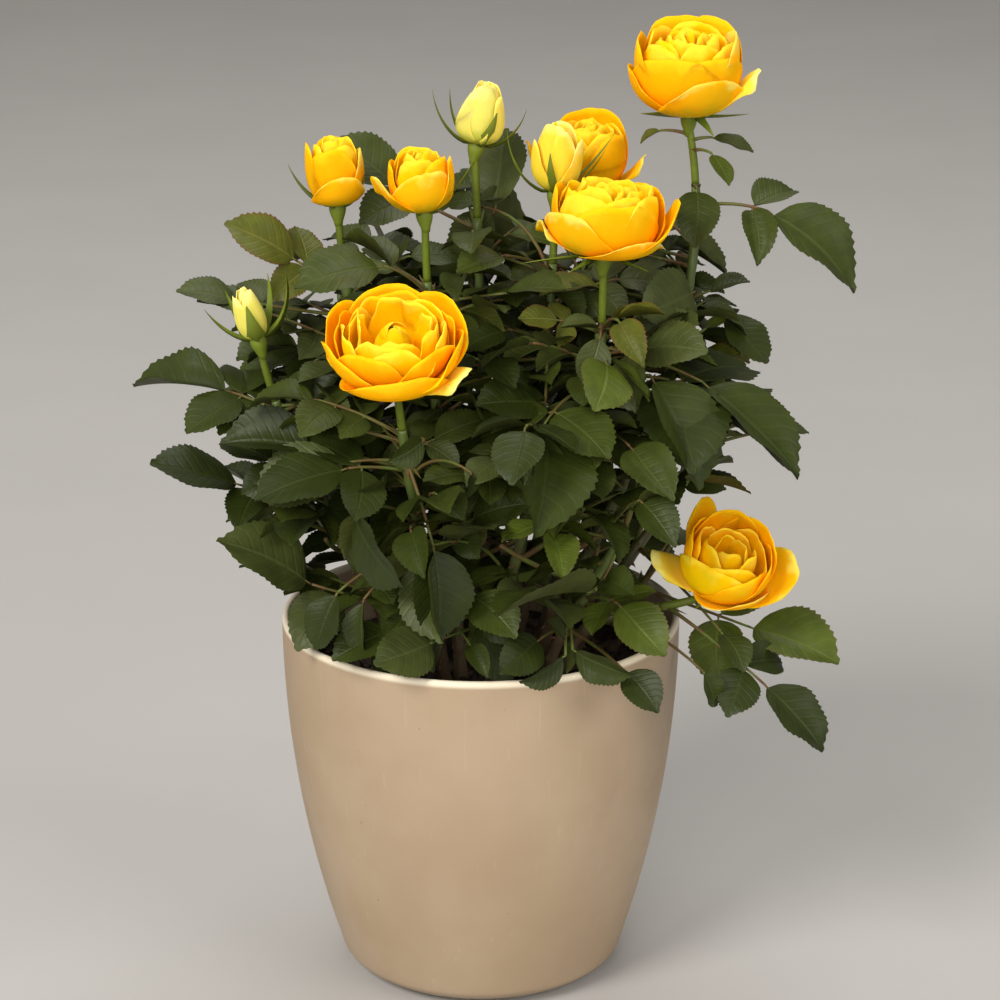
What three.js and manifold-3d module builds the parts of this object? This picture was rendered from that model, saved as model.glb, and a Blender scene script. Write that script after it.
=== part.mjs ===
// A miniature yellow rose bush standing in a plain cream cover pot.
// Millimetres, Z up. The origin is the middle of the pot's flat underside, and -Y is the front.
// Canes rise from the compost. Each ends where its mass of leaves begins, and a flower ends most shoots.

import * as THREE from 'three';
import { mergeVertices } from 'three/addons/utils/BufferGeometryUtils.js';
import Module from 'manifold-3d';

const wasm = await Module();
wasm.setup();

// Pot and compost
const POT_HEIGHT = 150;
const POT_RIM_RADIUS = 80;
const POT_FOOT_RADIUS = 43;
const POT_CORNER_HEIGHT = 7.5;
const POT_TAPER = 25;
const POT_TAPER_POWER = 2.06;
const POT_WALL = 3;
const POT_FLOOR = 4;
const POT_SIDES = 40;
const COMPOST_TOP = 125;
const GAP = 0.3;

// Stems: five-sided canes, three-sided leaf stalks
const CANE_FOOT_RADIUS = 2.6;
const CANE_TIP_RADIUS = 1.5;
const CANE_SIDES = 5;
const FOLIAGE_FOOT_HEIGHT = 30;
const FLOWER_STALK = 24;
const LEAF_STALK_RADIUS = 1.15;
const LEAF_STALK_TIP_RADIUS = 0.95;

// Compound leaves: a stalk with one or two pairs of leaflets and one at its end
const LEAFLET_WIDTH = 0.66;
const LEAFLET_THICKNESS = 1.4;
const LEAFLET_FOLD = 0.1;
const LEAFLET_ARCH = 0.045;
const LEAFLET_OUTLINE = [[0.24, -0.94], [0.66, -0.8], [1, 0], [0.66, 0.8], [0.24, 0.94]];
const NECK = 1.3;
const PAIRS = [
  { t: 0.78, turn: 66, size: 0.84, droop: 12 },
  { t: 0.46, turn: 72, size: 0.64, droop: 14 },
];
const LEAF_REACH = 50;
const LEAF_BLADE = 40;
const LEAF_SPACING = 20;
const LEAF_TURN = 144;
const LEAF_TRIES = 14;
const FLUSHES = [
  { shift: 0.1, scale: 1, leaflets: 5, least: 3 },
  { shift: 0.6, scale: 0.92, leaflets: 5, least: 3 },
  { shift: 0.3, scale: 0.85, leaflets: 3, least: 3 },
];
const TWIG_LENGTH = 40;
const TWIG_RADIUS = 1.3;
const TWIG_BOW = 20;
const LEAF_CLEARANCE = 0.25;
const SEED = 4127;

// The crown's envelope, which the leaves placed by rule keep within
const CROWN_CENTRE = new THREE.Vector3(4, 2, 226);
const CROWN_RADII = new THREE.Vector3(114, 112, 118);

// Shoots. foot, knee, shoulder and tip steer the stem from the compost to its tip.
// turn is the bearing of the first leaf; 0 points right, 90 to the back, 180 left, 270 to the front.
// leaves lists the leaves that give the crown its outline:
// [height on the stem, bearing, rise at the stem, pitch at the end, stalk length, end leaflet, leaflets,
// roll, size of the side leaflets where they are not of the usual size].
const SHOOTS = [
  {
    name: 'right_tall',
    foot: [18, 4],
    knee: [58, 2, 200],
    shoulder: [96, 12, 270],
    tip: [81, 15, 345],
    turn: 20,
    leaves: [
      [313, 341, 16, -45, 30, 49, 3, -26, 0.66],
      [320, 268, 33, -44, 15, 28, 1, 3],
      [276, 348, 27, 16, 9, 18, 1, -21],
      [268, 60, 20, -25, 20, 28, 3, -20],
    ],
    flower: { kind: 'open', width: 46, height: 40, tilt: 2, toward: 275 },
  },
  {
    name: 'right_back',
    foot: [14, 20],
    knee: [26, 34, 190],
    shoulder: [44, 36, 250],
    tip: [43, 37, 310],
    turn: 60,
    leaves: [],
    flower: { kind: 'open', width: 40, height: 34, tilt: 3, toward: 260 },
  },
  {
    name: 'right_inner',
    foot: [8, -4],
    knee: [18, -4, 190],
    shoulder: [28, 0, 250],
    tip: [29, 2, 318],
    turn: 200,
    leaves: [
      [282, 257, 43, -4, 15, 49, 3, 49, 0.8],
      [286, 142, 70, -84, 60, 55, 3, 67, 0.8],
    ],
    flower: { kind: 'cup', width: 21, height: 30, tilt: 3, toward: 20 },
  },
  {
    name: 'right_front',
    foot: [22, -12],
    knee: [36, -18, 190],
    shoulder: [48, -22, 240],
    tip: [47, -25, 299],
    turn: 300,
    leaves: [
      [254, 345, 11, -40, 41, 54, 3, -11, 1.1],
      [270, 268, 47, -75, 38, 20, 3, 21],
      [263, 317, 18, 12, 20, 33, 3, -40, 1.06],
      [248, 239, 21, -85, 46, 40, 3, -3, 1.02],
      [226, 239, 66, -85, 31, 25, 3, -57, 0.7],
    ],
    flower: { kind: 'open', width: 53, height: 32, tilt: 4, toward: 0 },
  },
  {
    name: 'middle',
    foot: [0, 10],
    knee: [4, 10, 190],
    shoulder: [0, 8, 260],
    tip: [-2, 10, 335],
    turn: 110,
    leaves: [
      [305, 155, 16, 35, 37, 35, 3, 20, 0.9],
      [292, 286, 27, -56, 26, 50, 3, 29, 0.7],
    ],
    flower: { kind: 'bud', width: 19, height: 28, tilt: 10, toward: 0 },
  },
  {
    name: 'middle_left',
    foot: [-8, -8],
    knee: [-12, -8, 190],
    shoulder: [-20, -12, 250],
    tip: [-21, -15, 314],
    turn: 250,
    leaves: [
      [284, 215, 52, -11, 26, 37, 3, 27, 0.9],
    ],
    flower: { kind: 'cup', width: 31, height: 29, tilt: 6, toward: 195 },
  },
  {
    name: 'left_tall',
    foot: [-16, 6],
    knee: [-30, 4, 190],
    shoulder: [-50, 0, 240],
    tip: [-55, 0, 313],
    turn: 150,
    leaves: [
      [284, 190, 29, 34, 22, 33, 3, 40, 0.8],
      [258, 190, 30, 14, 38, 30, 5, 15],
    ],
    flower: { kind: 'cup', width: 25, height: 30, tilt: 3, toward: 190 },
  },
  {
    name: 'front_left',
    foot: [-14, -20],
    knee: [-20, -36, 180],
    shoulder: [-28, -58, 225],
    tip: [-31, -64, 264],
    turn: 230,
    leaves: [
      [227, 177, 15, 2, 36, 38, 3, 31, 0.8],
      [164, 187, 4, 39, 49, 44, 3, 38, 0.8],
      [189, 219, 9, -66, 44, 25, 1, 12],
      [194, 227, 66, -85, 53, 39, 3, -62, 0.7],
      [232, 292, 66, -66, 28, 19, 1, 74],
      [223, 315, 50, -85, 42, 10, 1, 23],
    ],
    flower: { kind: 'open', width: 54, height: 31, tilt: 20, toward: 268 },
  },
  {
    name: 'left',
    foot: [-28, -8],
    knee: [-46, -14, 180],
    shoulder: [-76, -26, 220],
    tip: [-84, -30, 268],
    turn: 170,
    leaves: [
      [241, 163, 24, 1, 21, 44, 5, 18, 0.8],
    ],
    flower: { kind: 'bud', width: 15, height: 25, tilt: 15, toward: 190 },
  },
  {
    name: 'right_low',
    foot: [30, -20],
    knee: [36, -30, 168],
    shoulder: [66, -36, 158],
    tip: [93, -33, 170],
    turn: 330,
    leaves: [],
    flower: { kind: 'open', width: 54, height: 29, tilt: 27, toward: 292 },
  },
  {
    name: 'left_low',
    foot: [-34, 6],
    knee: [-44, 4, 170],
    shoulder: [-64, 2, 185],
    tip: [-80, 0, 212],
    turn: 190,
    leaves: [
      [196, 199, 18, 21, 28, 40, 3, 13, 0.8],
    ],
  },
  {
    name: 'front_middle',
    foot: [4, -28],
    knee: [8, -40, 170],
    shoulder: [20, -44, 205],
    tip: [24, -46, 240],
    turn: 270,
    leaves: [
      [174, 227, 66, -65, 60, 41, 3, -35, 1.05],
      [161, 225, -2, 0, 37, 33, 3, 46, 0.8],
    ],
  },
  {
    name: 'front_right',
    foot: [22, -32],
    knee: [30, -44, 160],
    shoulder: [46, -50, 180],
    tip: [56, -54, 205],
    turn: 290,
    leaves: [
      [158, 303, 2, -31, 41, 22, 1, -24],
      [172, 307, 25, -32, 22, 29, 3, -19, 0.8],
      [204, 240, -55, 12, 32, 55, 3, -29, 0.45],
    ],
  },
  {
    name: 'right_side',
    foot: [36, 4],
    knee: [56, 6, 175],
    shoulder: [86, 12, 195],
    tip: [98, 14, 235],
    turn: 10,
    leaves: [
      [161, 333, -10, -12, 59, 41, 3, -28, 0.9],
      [193, 339, 9, -19, 34, 25, 3, -27, 0.8],
      [215, 359, 20, -1, 27, 16, 3, -17, 0.9],
    ],
  },
  {
    name: 'rear_right',
    foot: [24, 28],
    knee: [40, 44, 180],
    shoulder: [56, 62, 220],
    tip: [60, 64, 268],
    turn: 50,
    leaves: [],
  },
  {
    name: 'rear_middle',
    foot: [-2, 32],
    knee: [-2, 52, 180],
    shoulder: [2, 72, 215],
    tip: [0, 74, 262],
    turn: 90,
    leaves: [],
  },
  {
    name: 'rear_left',
    foot: [-26, 24],
    knee: [-38, 40, 180],
    shoulder: [-54, 58, 215],
    tip: [-58, 60, 268],
    turn: 130,
    leaves: [],
  },
];

const UP = new THREE.Vector3(0, 0, 1);

// A closed three.js geometry as a solid that can be joined and cut
function solidOf(geometry) {
  const bare = geometry.index ? geometry.toNonIndexed() : geometry.clone();
  bare.deleteAttribute('normal');
  bare.deleteAttribute('uv');
  const merged = mergeVertices(bare, 1e-4);
  return new wasm.Manifold(new wasm.Mesh({
    numProp: 3,
    vertProperties: merged.attributes.position.array,
    triVerts: new Uint32Array(merged.index.array),
  }));
}

// The largest body of a fused solid, with any hollow that fusing sealed left filled
function largestBody(solid) {
  const bodies = solid.decompose().filter((body) => body.volume() > 0);
  return bodies.reduce((best, body) => (body.volume() > best.volume() ? body : best));
}

function fuse(pieces) {
  return largestBody(pieces.reduce((whole, piece) => whole.add(piece)));
}

// A named mesh of one fused solid
function meshOf(name, solid, material) {
  const made = solid.getMesh();
  const geometry = new THREE.BufferGeometry();
  geometry.setAttribute('position', new THREE.BufferAttribute(new Float32Array(made.vertProperties), 3));
  geometry.setIndex(new THREE.BufferAttribute(new Uint32Array(made.triVerts), 1));
  geometry.computeVertexNormals();
  const mesh = new THREE.Mesh(geometry, material);
  mesh.name = name;
  return mesh;
}

// Moves every vertex of a geometry by a function of its place
function reshape(geometry, place) {
  const at = geometry.attributes.position;
  const from = new THREE.Vector3();
  for (let i = 0; i < at.count; i += 1) {
    from.fromBufferAttribute(at, i);
    const to = place(from);
    at.setXYZ(i, to.x, to.y, to.z);
  }
  return geometry;
}

// Direction at a compass bearing and a pitch above the level, both in degrees
function heading(bearing, pitch) {
  const b = THREE.MathUtils.degToRad(bearing);
  const p = THREE.MathUtils.degToRad(pitch);
  return new THREE.Vector3(Math.cos(b) * Math.cos(p), Math.sin(b) * Math.cos(p), Math.sin(p));
}

// A tapering limb: a cylinder bent along a stretch of a curve. A cane's foot is cut level.
function limb(curve, from, to, radiusFrom, radiusTo, sides, steps, levelFoot = false) {
  const cylinder = new THREE.CylinderGeometry(1, 1, 1, sides, steps);
  const rings = [];
  let across = null;
  for (let i = 0; i <= steps; i += 1) {
    const t = from + ((to - from) * i) / steps;
    const along = levelFoot && i === 0 ? UP : curve.getTangent(t);
    if (!across) {
      across = new THREE.Vector3(1, 0, 0);
      if (Math.abs(along.x) > 0.8) across.set(0, 1, 0);
    }
    across = across.clone().addScaledVector(along, -across.dot(along)).normalize();
    rings.push({ at: curve.getPoint(t), across, over: new THREE.Vector3().crossVectors(along, across) });
  }
  reshape(cylinder, (v) => {
    const share = v.y + 0.5;
    const ring = rings[Math.round(share * steps)];
    const radius = THREE.MathUtils.lerp(radiusFrom, radiusTo, share);
    return ring.at.clone()
      .addScaledVector(ring.across, v.z * radius)
      .addScaledVector(ring.over, v.x * radius);
  });
  return solidOf(cylinder);
}

// Repeatable random numbers from 0 to 1
function randomFrom(seed) {
  let state = seed >>> 0;
  return () => {
    state = (state + 0x6d2b79f5) >>> 0;
    let mixed = Math.imul(state ^ (state >>> 15), state | 1);
    mixed ^= mixed + Math.imul(mixed ^ (mixed >>> 7), mixed | 61);
    return ((mixed ^ (mixed >>> 14)) >>> 0) / 4294967296;
  };
}

// A box in space: its middle, its three axes and its half sizes. Leaves are kept apart with these.
function box(middle, axes, half) {
  return { middle, axes, half, span: Math.hypot(...half) };
}

function boxAlong(from, to, radius) {
  const along = to.clone().sub(from);
  const length = along.length();
  along.normalize();
  const across = new THREE.Vector3(0, 0, 1);
  if (Math.abs(along.z) > 0.8) across.set(1, 0, 0);
  across.addScaledVector(along, -across.dot(along)).normalize();
  const over = new THREE.Vector3().crossVectors(along, across);
  return box(from.clone().lerp(to, 0.5), [along, across, over], [length / 2, radius, radius]);
}

// Whether two boxes come nearer than the leaf clearance, by the separating axis test
function boxesMeet(a, b) {
  const apart = b.middle.clone().sub(a.middle);
  if (apart.length() > a.span + b.span + 2 * LEAF_CLEARANCE) return false;
  const tests = [...a.axes, ...b.axes];
  for (const one of a.axes) {
    for (const other of b.axes) {
      const cross = new THREE.Vector3().crossVectors(one, other);
      if (cross.lengthSq() > 1e-6) tests.push(cross.normalize());
    }
  }
  return tests.every((axis) => {
    let reach = 2 * LEAF_CLEARANCE;
    for (let i = 0; i < 3; i += 1) {
      reach += a.half[i] * Math.abs(a.axes[i].dot(axis));
      reach += b.half[i] * Math.abs(b.axes[i].dot(axis));
    }
    return Math.abs(apart.dot(axis)) < reach;
  });
}

// Stems: one smooth curve each, split into cane, foliage stem and flower stalk
function stemOf(shoot) {
  const curve = new THREE.CubicBezierCurve3(
    new THREE.Vector3(...shoot.foot, COMPOST_TOP + GAP),
    new THREE.Vector3(...shoot.knee),
    new THREE.Vector3(...shoot.shoulder),
    new THREE.Vector3(...shoot.tip),
  );
  const length = curve.getLength();
  const foliageFrom = FOLIAGE_FOOT_HEIGHT / length;
  const foliageTo = shoot.flower ? 1 - FLOWER_STALK / length : 1;
  return { curve, length, foliageFrom, foliageTo };
}

function stemRadius(t) {
  return THREE.MathUtils.lerp(CANE_FOOT_RADIUS, CANE_TIP_RADIUS, t);
}

// The share of a stem at which it reaches a height
function shareAtHeight(curve, height) {
  let low = 0;
  let high = 1;
  for (let i = 0; i < 30; i += 1) {
    const middle = (low + high) / 2;
    if (curve.getPoint(middle).z < height) low = middle;
    else high = middle;
  }
  return low;
}

// One compound leaf, worked out from its root on the stem: the stalk bends from its rise towards its fall,
// and the end leaflet lies at the fall
function leafAt(root, bearing, rise, fall, reach, blade, leaflets, roll, sideScale = 1) {
  const bend = (rise + fall) / 2;
  const elbow = root.clone().addScaledVector(heading(bearing, rise), reach / 2);
  const end = elbow.clone().addScaledVector(heading(bearing, bend), reach / 2);
  const stalk = new THREE.QuadraticBezierCurve3(root, elbow, end);
  const rolled = THREE.MathUtils.degToRad(roll);
  const places = [{ t: 1, turn: 0, size: 1, droop: bend - fall }];
  PAIRS.slice(0, (leaflets - 1) / 2).forEach(({ t, turn, size, droop }) => {
    const scaled = size * sideScale;
    places.push({ t, turn, size: scaled, droop }, { t, turn: -turn, size: scaled, droop });
  });
  const blades = places.map(({ t, turn, size, droop }) => {
    const along = stalk.getTangent(t);
    const level = new THREE.Vector3(0, 0, 1).addScaledVector(along, -along.z).normalize();
    const left = new THREE.Vector3().crossVectors(level, along);
    const face = level.clone().multiplyScalar(Math.cos(rolled)).addScaledVector(left, Math.sin(rolled));
    const side = new THREE.Vector3().crossVectors(face, along);
    const out = THREE.MathUtils.degToRad(turn);
    const down = THREE.MathUtils.degToRad(droop);
    const outward = along.clone().multiplyScalar(Math.cos(out)).addScaledVector(side, Math.sin(out));
    const axis = outward.clone().multiplyScalar(Math.cos(down)).addScaledVector(face, -Math.sin(down));
    const upper = face.clone().multiplyScalar(Math.cos(down)).addScaledVector(outward, Math.sin(down));
    return {
      t,
      turn,
      root: stalk.getPoint(t),
      axis,
      face: upper,
      side: new THREE.Vector3().crossVectors(upper, axis),
      length: blade * size,
    };
  });
  return { stalk, blades };
}

// The box that a leaflet fills
function bladeBox(blade) {
  const middle = blade.root.clone()
    .addScaledVector(blade.axis, blade.length / 2 + 0.5)
    .addScaledVector(blade.face, blade.length * 0.035);
  const half = [blade.length / 2, blade.length * LEAFLET_WIDTH * 0.46, blade.length * 0.045 + 0.3];
  return box(middle, [blade.axis, blade.side, blade.face], half);
}

// The boxes along a leaf's stalk
function stalkBoxes(stalk) {
  const cuts = [0, 0.35, 0.7, 1];
  return cuts
    .slice(1)
    .map((t, i) => boxAlong(stalk.getPoint(cuts[i]), stalk.getPoint(t), LEAF_STALK_RADIUS));
}

function twigBoxes(twig) {
  const cuts = [0, 0.33, 0.66, 1];
  return cuts.slice(1).map((t, i) => boxAlong(twig.getPoint(cuts[i]), twig.getPoint(t), TWIG_RADIUS));
}

function inCrown(point) {
  return point.clone().sub(CROWN_CENTRE).divide(CROWN_RADII).length() < 1;
}

// Boxes that no leaf may touch: the pot's rim, the compost, the stems and the flowers
const taken = [];
const RIM_BOXES = 36;
for (let i = 0; i < RIM_BOXES; i += 1) {
  const bearing = (360 / RIM_BOXES) * i;
  const out = heading(bearing, 0);
  const across = heading(bearing + 90, 0);
  const middle = out.clone().multiplyScalar(POT_RIM_RADIUS - 2.6);
  middle.z = POT_HEIGHT - 24;
  const halfWidth = POT_RIM_RADIUS * Math.tan(Math.PI / RIM_BOXES);
  taken.push(box(middle, [out, across, UP], [3, halfWidth, 24.5]));
}
taken.push(box(
  new THREE.Vector3(0, 0, COMPOST_TOP - 20),
  [new THREE.Vector3(1, 0, 0), new THREE.Vector3(0, 1, 0), UP],
  [POT_RIM_RADIUS, POT_RIM_RADIUS, 20.5],
));

const STEM_BOXES = 14;
for (const shoot of SHOOTS) {
  shoot.stem = stemOf(shoot);
  const { curve } = shoot.stem;
  for (let i = 0; i < STEM_BOXES; i += 1) {
    const from = i / STEM_BOXES;
    const to = (i + 1) / STEM_BOXES;
    taken.push({ ...boxAlong(curve.getPoint(from), curve.getPoint(to), stemRadius(from)), stemOf: shoot });
  }
  if (shoot.flower) {
    const { width, height, tilt, toward } = shoot.flower;
    const facing = heading(toward, 90 - tilt);
    const across = heading(toward + 90, 0);
    const over = new THREE.Vector3().crossVectors(facing, across);
    const middle = curve.getPoint(1).addScaledVector(facing, height / 2 + 3);
    taken.push(box(middle, [facing, across, over], [height / 2 + 3, width * 0.46, width * 0.46]));
  }
}

function isFree(piece, rootedIn) {
  return !taken.some((other) => !(rootedIn && other.stemOf === rootedIn) && boxesMeet(piece, other));
}

// Tries a leaf. It stays where its stalk and enough of its leaflets touch nothing that stands already,
// and a leaflet that would touch something or leave the crown is skipped.
function place(shoot, leaf, least, rootedIn = shoot) {
  const stalks = stalkBoxes(leaf.stalk);
  if (!stalks.every((piece) => isFree(piece, rootedIn))) return false;
  const blades = leaf.blades.filter((blade) => {
    const tip = blade.root.clone().addScaledVector(blade.axis, blade.length);
    return (!least || inCrown(tip)) && isFree(bladeBox(blade));
  });
  if (!blades.length || blades[0].t < 1 || blades.length < least) return false;
  taken.push(...stalks, ...blades.map(bladeBox));
  shoot.placed.push({ stalk: leaf.stalk, blades });
  return true;
}

SHOOTS.forEach((shoot) => {
  shoot.placed = [];
  shoot.leaves.forEach(([height, ...shape]) => {
    const root = shoot.stem.curve.getPoint(shareAtHeight(shoot.stem.curve, height));
    place(shoot, leafAt(root, ...shape), 0);
  });
});

// A side twig from a stem, bowed upward
function twigAt(root, bearing, rise, reach) {
  const elbow = root.clone().addScaledVector(heading(bearing, rise), reach / 2);
  const end = elbow.clone().addScaledVector(heading(bearing, rise + TWIG_BOW), reach / 2);
  return new THREE.QuadraticBezierCurve3(root, elbow, end);
}

// Side twigs by rule, each with a leaf half way and one at its end
SHOOTS.forEach((shoot, shootNumber) => {
  shoot.twigs = [];
  const { curve, foliageFrom, foliageTo } = shoot.stem;
  const wanted = shoot.flower ? 1 : 2;
  for (let k = 0; k < wanted; k += 1) {
    for (let attempt = 0; attempt < LEAF_TRIES; attempt += 1) {
      const random = randomFrom(SEED * 3 + shootNumber * 1013 + k * 103 + attempt * 17);
      const t = foliageFrom + (foliageTo - foliageFrom) * (0.12 + 0.3 * k + 0.2 * random());
      const bearing = shoot.turn + 70 + 180 * k + (random() - 0.5) * (50 + 20 * attempt);
      const rise = 10 + 30 * random();
      const twig = twigAt(curve.getPoint(t), bearing, rise, TWIG_LENGTH * (0.8 + 0.3 * random()));
      const pieces = twigBoxes(twig);
      if (!inCrown(twig.getPoint(1)) || !pieces.every((piece) => isFree(piece, shoot))) continue;
      taken.push(...pieces.map((piece) => ({ ...piece, stemOf: twig })));
      shoot.twigs.push(twig);
      [0.5, 1].forEach((share, which) => {
        for (let go = 0; go < LEAF_TRIES; go += 1) {
          const size = 0.72 + 0.16 * random();
          const side = bearing + (which ? 0 : 65) + (random() - 0.5) * (30 + 14 * go);
          const leafRise = 5 + 30 * random();
          const leafFall = -40 * random();
          const roll = (random() - 0.5) * 50;
          const reach = LEAF_REACH * size * 0.8;
          const blade = LEAF_BLADE * size;
          const leaf = leafAt(twig.getPoint(share), side, leafRise, leafFall, reach, blade, 5, roll);
          if (place(shoot, leaf, 2, twig)) break;
        }
      });
      break;
    }
  }
});

// Leaves by rule, climbing each stem in a spiral. Later flushes come between the first ones, and smaller.
FLUSHES.forEach(({ shift, scale, leaflets, least }, flush) => {
  SHOOTS.forEach((shoot, shootNumber) => {
    const { curve, length, foliageFrom, foliageTo } = shoot.stem;
    const span = (foliageTo - foliageFrom) * length;
    const count = Math.floor(span / LEAF_SPACING);
    for (let k = 0; k < count; k += 1) {
      const t = foliageFrom + ((foliageTo - foliageFrom) * (k + shift)) / count;
      for (let attempt = 0; attempt < LEAF_TRIES; attempt += 1) {
        const random = randomFrom(SEED + flush * 70001 + shootNumber * 1009 + k * 101 + attempt * 13);
        const bearing = shoot.turn + LEAF_TURN * k + 90 * flush + (random() - 0.5) * (24 + 20 * attempt);
        const rise = 5 + 50 * random();
        const fall = 15 - 55 * random();
        const size = scale * (1 - 0.22 * t) * (0.86 + 0.24 * random()) * (1 - 0.02 * attempt);
        const roll = (random() - 0.5) * 70;
        const reach = LEAF_REACH * size;
        const blade = LEAF_BLADE * size;
        const leaf = leafAt(curve.getPoint(t), bearing, rise, fall, reach, blade, leaflets, roll);
        if (place(shoot, leaf, least)) break;
      }
    }
  });
});

// One compound leaf as a single closed skin. Upper and lower skins share the outline and stand apart along
// a ridge that follows the stalk and has a peak on each leaflet, so every part is thickest at its middle.
function leafSolid({ stalk, blades }) {
  const points = [];
  const faces = [];
  const edge = (point) => {
    points.push(point);
    return { top: points.length - 1, under: points.length - 1 };
  };
  const ridge = (point, face, thickness) => {
    points.push(point.clone().addScaledVector(face, thickness));
    points.push(point.clone().addScaledVector(face, -thickness));
    return { top: points.length - 2, under: points.length - 1 };
  };
  const skin = (a, b, c) => faces.push(a.top, b.top, c.top, a.under, c.under, b.under);

  // A leaflet between two neck points, running round its outline with its peak in the middle
  const leaflet = (blade, neckIn, neckOut, spine) => {
    const at = (u, across) => {
      const lift = 4 * u * (1 - u) * LEAFLET_ARCH + Math.abs(across) * LEAFLET_FOLD;
      return blade.root.clone()
        .addScaledVector(blade.axis, blade.length * u)
        .addScaledVector(blade.side, blade.length * LEAFLET_WIDTH * 0.5 * across)
        .addScaledVector(blade.face, blade.length * lift);
    };
    const peak = ridge(at(0.42, 0), blade.face, LEAFLET_THICKNESS / 2);
    const rim = [neckIn, ...LEAFLET_OUTLINE.map(([u, across]) => edge(at(u, across))), neckOut];
    rim.slice(1).forEach((corner, i) => skin(rim[i], corner, peak));
    skin(neckIn, peak, spine);
    skin(neckOut, spine, peak);
  };

  const stations = [0, ...PAIRS.map(({ t }) => t).sort()];
  let before = null;
  stations.forEach((t) => {
    const along = stalk.getTangent(t);
    const { face } = blades[0];
    const side = new THREE.Vector3().crossVectors(face, along).normalize();
    const up = new THREE.Vector3().crossVectors(along, side);
    const radius = THREE.MathUtils.lerp(LEAF_STALK_RADIUS, LEAF_STALK_TIP_RADIUS, t);
    const centre = stalk.getPoint(t);
    const here = { spine: ridge(centre, up, radius) };
    const pair = blades.filter((blade) => blade.t === t && blade.turn !== 0);
    [1, -1].forEach((way) => {
      const blade = pair.find((one) => Math.sign(one.turn) === way);
      const rim = (shift) => {
        const point = centre.clone().addScaledVector(side, way * radius);
        return edge(point.addScaledVector(along, shift));
      };
      const near = rim(blade ? -NECK : 0);
      const far = blade ? rim(NECK) : near;
      if (blade && way > 0) leaflet(blade, far, near, here.spine);
      if (blade && way < 0) leaflet(blade, near, far, here.spine);
      here[way] = { near, far };
    });
    if (before) {
      skin(before.spine, before[-1].far, here[-1].near);
      skin(before.spine, here[-1].near, here.spine);
      skin(before.spine, here.spine, here[1].near);
      skin(before.spine, here[1].near, before[1].far);
    } else {
      faces.push(here.spine.top, here[1].near.top, here.spine.under);
      faces.push(here.spine.top, here.spine.under, here[-1].near.top);
    }
    before = here;
  });
  leaflet(blades[0], before[-1].far, before[1].far, before.spine);

  const geometry = new THREE.BufferGeometry().setFromPoints(points);
  geometry.setIndex(faces);
  return solidOf(geometry);
}

// Flowers, built upward from the top of the stalk: a lobed body turned about the flower's own axis,
// and sepals round a bud. Each profile runs from the hip over the outer petals to the heart, as shares
// of the half width and the height.
const FLOWER_PROFILES = {
  open: [[0.5, 0.14], [0.88, 0.36], [1, 0.64], [0.8, 0.72], [0.6, 1], [0.34, 0.84], [0, 0.8]],
  cup: [[0.6, 0.12], [0.9, 0.34], [1, 0.66], [0.84, 0.9], [0.5, 1], [0, 0.9]],
  bud: [[0.66, 0.1], [1, 0.38], [0.88, 0.62], [0.4, 0.9], [0, 1]],
};
const FLOWER_PETALS = { open: 5, cup: 4, bud: 3 };
const BUD_SEPALS = 5;
const SEPAL_LENGTH = 19;
const SEPAL_LEAN = 58;
const SEPAL_CURL = -46;
const HIP = [[0, -1.5], [1.5, -1.5], [3, 1.5], [2.8, 4]];
const HIP_HEIGHT = 5;
const PETAL_LOBE = 0.09;
const FLOWER_TWIST = 50;

function flowerSolids(shoot) {
  const { kind, width, height, tilt, toward } = shoot.flower;
  const facing = heading(toward, 90 - tilt);
  const across = heading(toward + 90, 0);
  const over = new THREE.Vector3().crossVectors(across, facing);
  const base = shoot.stem.curve.getPoint(1);
  const set = (v) => base.clone()
    .addScaledVector(across, v.x)
    .addScaledVector(over, v.z)
    .addScaledVector(facing, v.y);

  const petals = FLOWER_PETALS[kind];
  const above = height - HIP_HEIGHT;
  const bloom = FLOWER_PROFILES[kind].map(([r, h]) => [(r * width) / 2, HIP_HEIGHT + h * above]);
  const profile = [...HIP, ...bloom];
  const body = new THREE.LatheGeometry(profile.map(([r, h]) => new THREE.Vector2(r, h)), petals * 3);
  reshape(body, (v) => {
    const radius = Math.hypot(v.x, v.z);
    const share = radius / (width / 2);
    const lobe = 1 + PETAL_LOBE * share * Math.cos(petals * Math.atan2(v.z, v.x));
    const twisted = Math.atan2(v.z, v.x) + THREE.MathUtils.degToRad((FLOWER_TWIST * v.y) / height);
    return new THREE.Vector3(Math.cos(twisted) * radius * lobe, v.y, Math.sin(twisted) * radius * lobe);
  });
  const pieces = [solidOf(reshape(body, set))];

  const sepals = kind === 'bud' ? BUD_SEPALS : 0;
  for (let i = 0; i < sepals; i += 1) {
    const turn = THREE.MathUtils.degToRad((360 / sepals) * i);
    const spike = new THREE.ConeGeometry(1, 1, 3, 1);
    reshape(spike, (v) => {
      const up = v.y + 0.5;
      const angle = THREE.MathUtils.degToRad(SEPAL_LEAN + SEPAL_CURL * up);
      const out = 1.4 + Math.sin(angle) * SEPAL_LENGTH * up - v.z * 0.8;
      const rise = 3 + Math.cos(angle) * SEPAL_LENGTH * up + v.z * 0.6;
      const sideways = v.x * 1.7;
      return new THREE.Vector3(
        Math.cos(turn) * out - Math.sin(turn) * sideways,
        rise,
        Math.sin(turn) * out + Math.cos(turn) * sideways,
      );
    });
    pieces.push(solidOf(reshape(spike, set)));
  }
  return pieces;
}

// Pot and compost: bodies of revolution about the upright axis
function potRadius(height) {
  const wall = POT_RIM_RADIUS - POT_TAPER * (1 - height / POT_HEIGHT) ** POT_TAPER_POWER;
  if (height >= POT_CORNER_HEIGHT) return wall;
  const corner = 1 - height / POT_CORNER_HEIGHT;
  return wall - (wall - POT_FOOT_RADIUS) * (1 - Math.sqrt(1 - corner ** 2));
}

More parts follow.
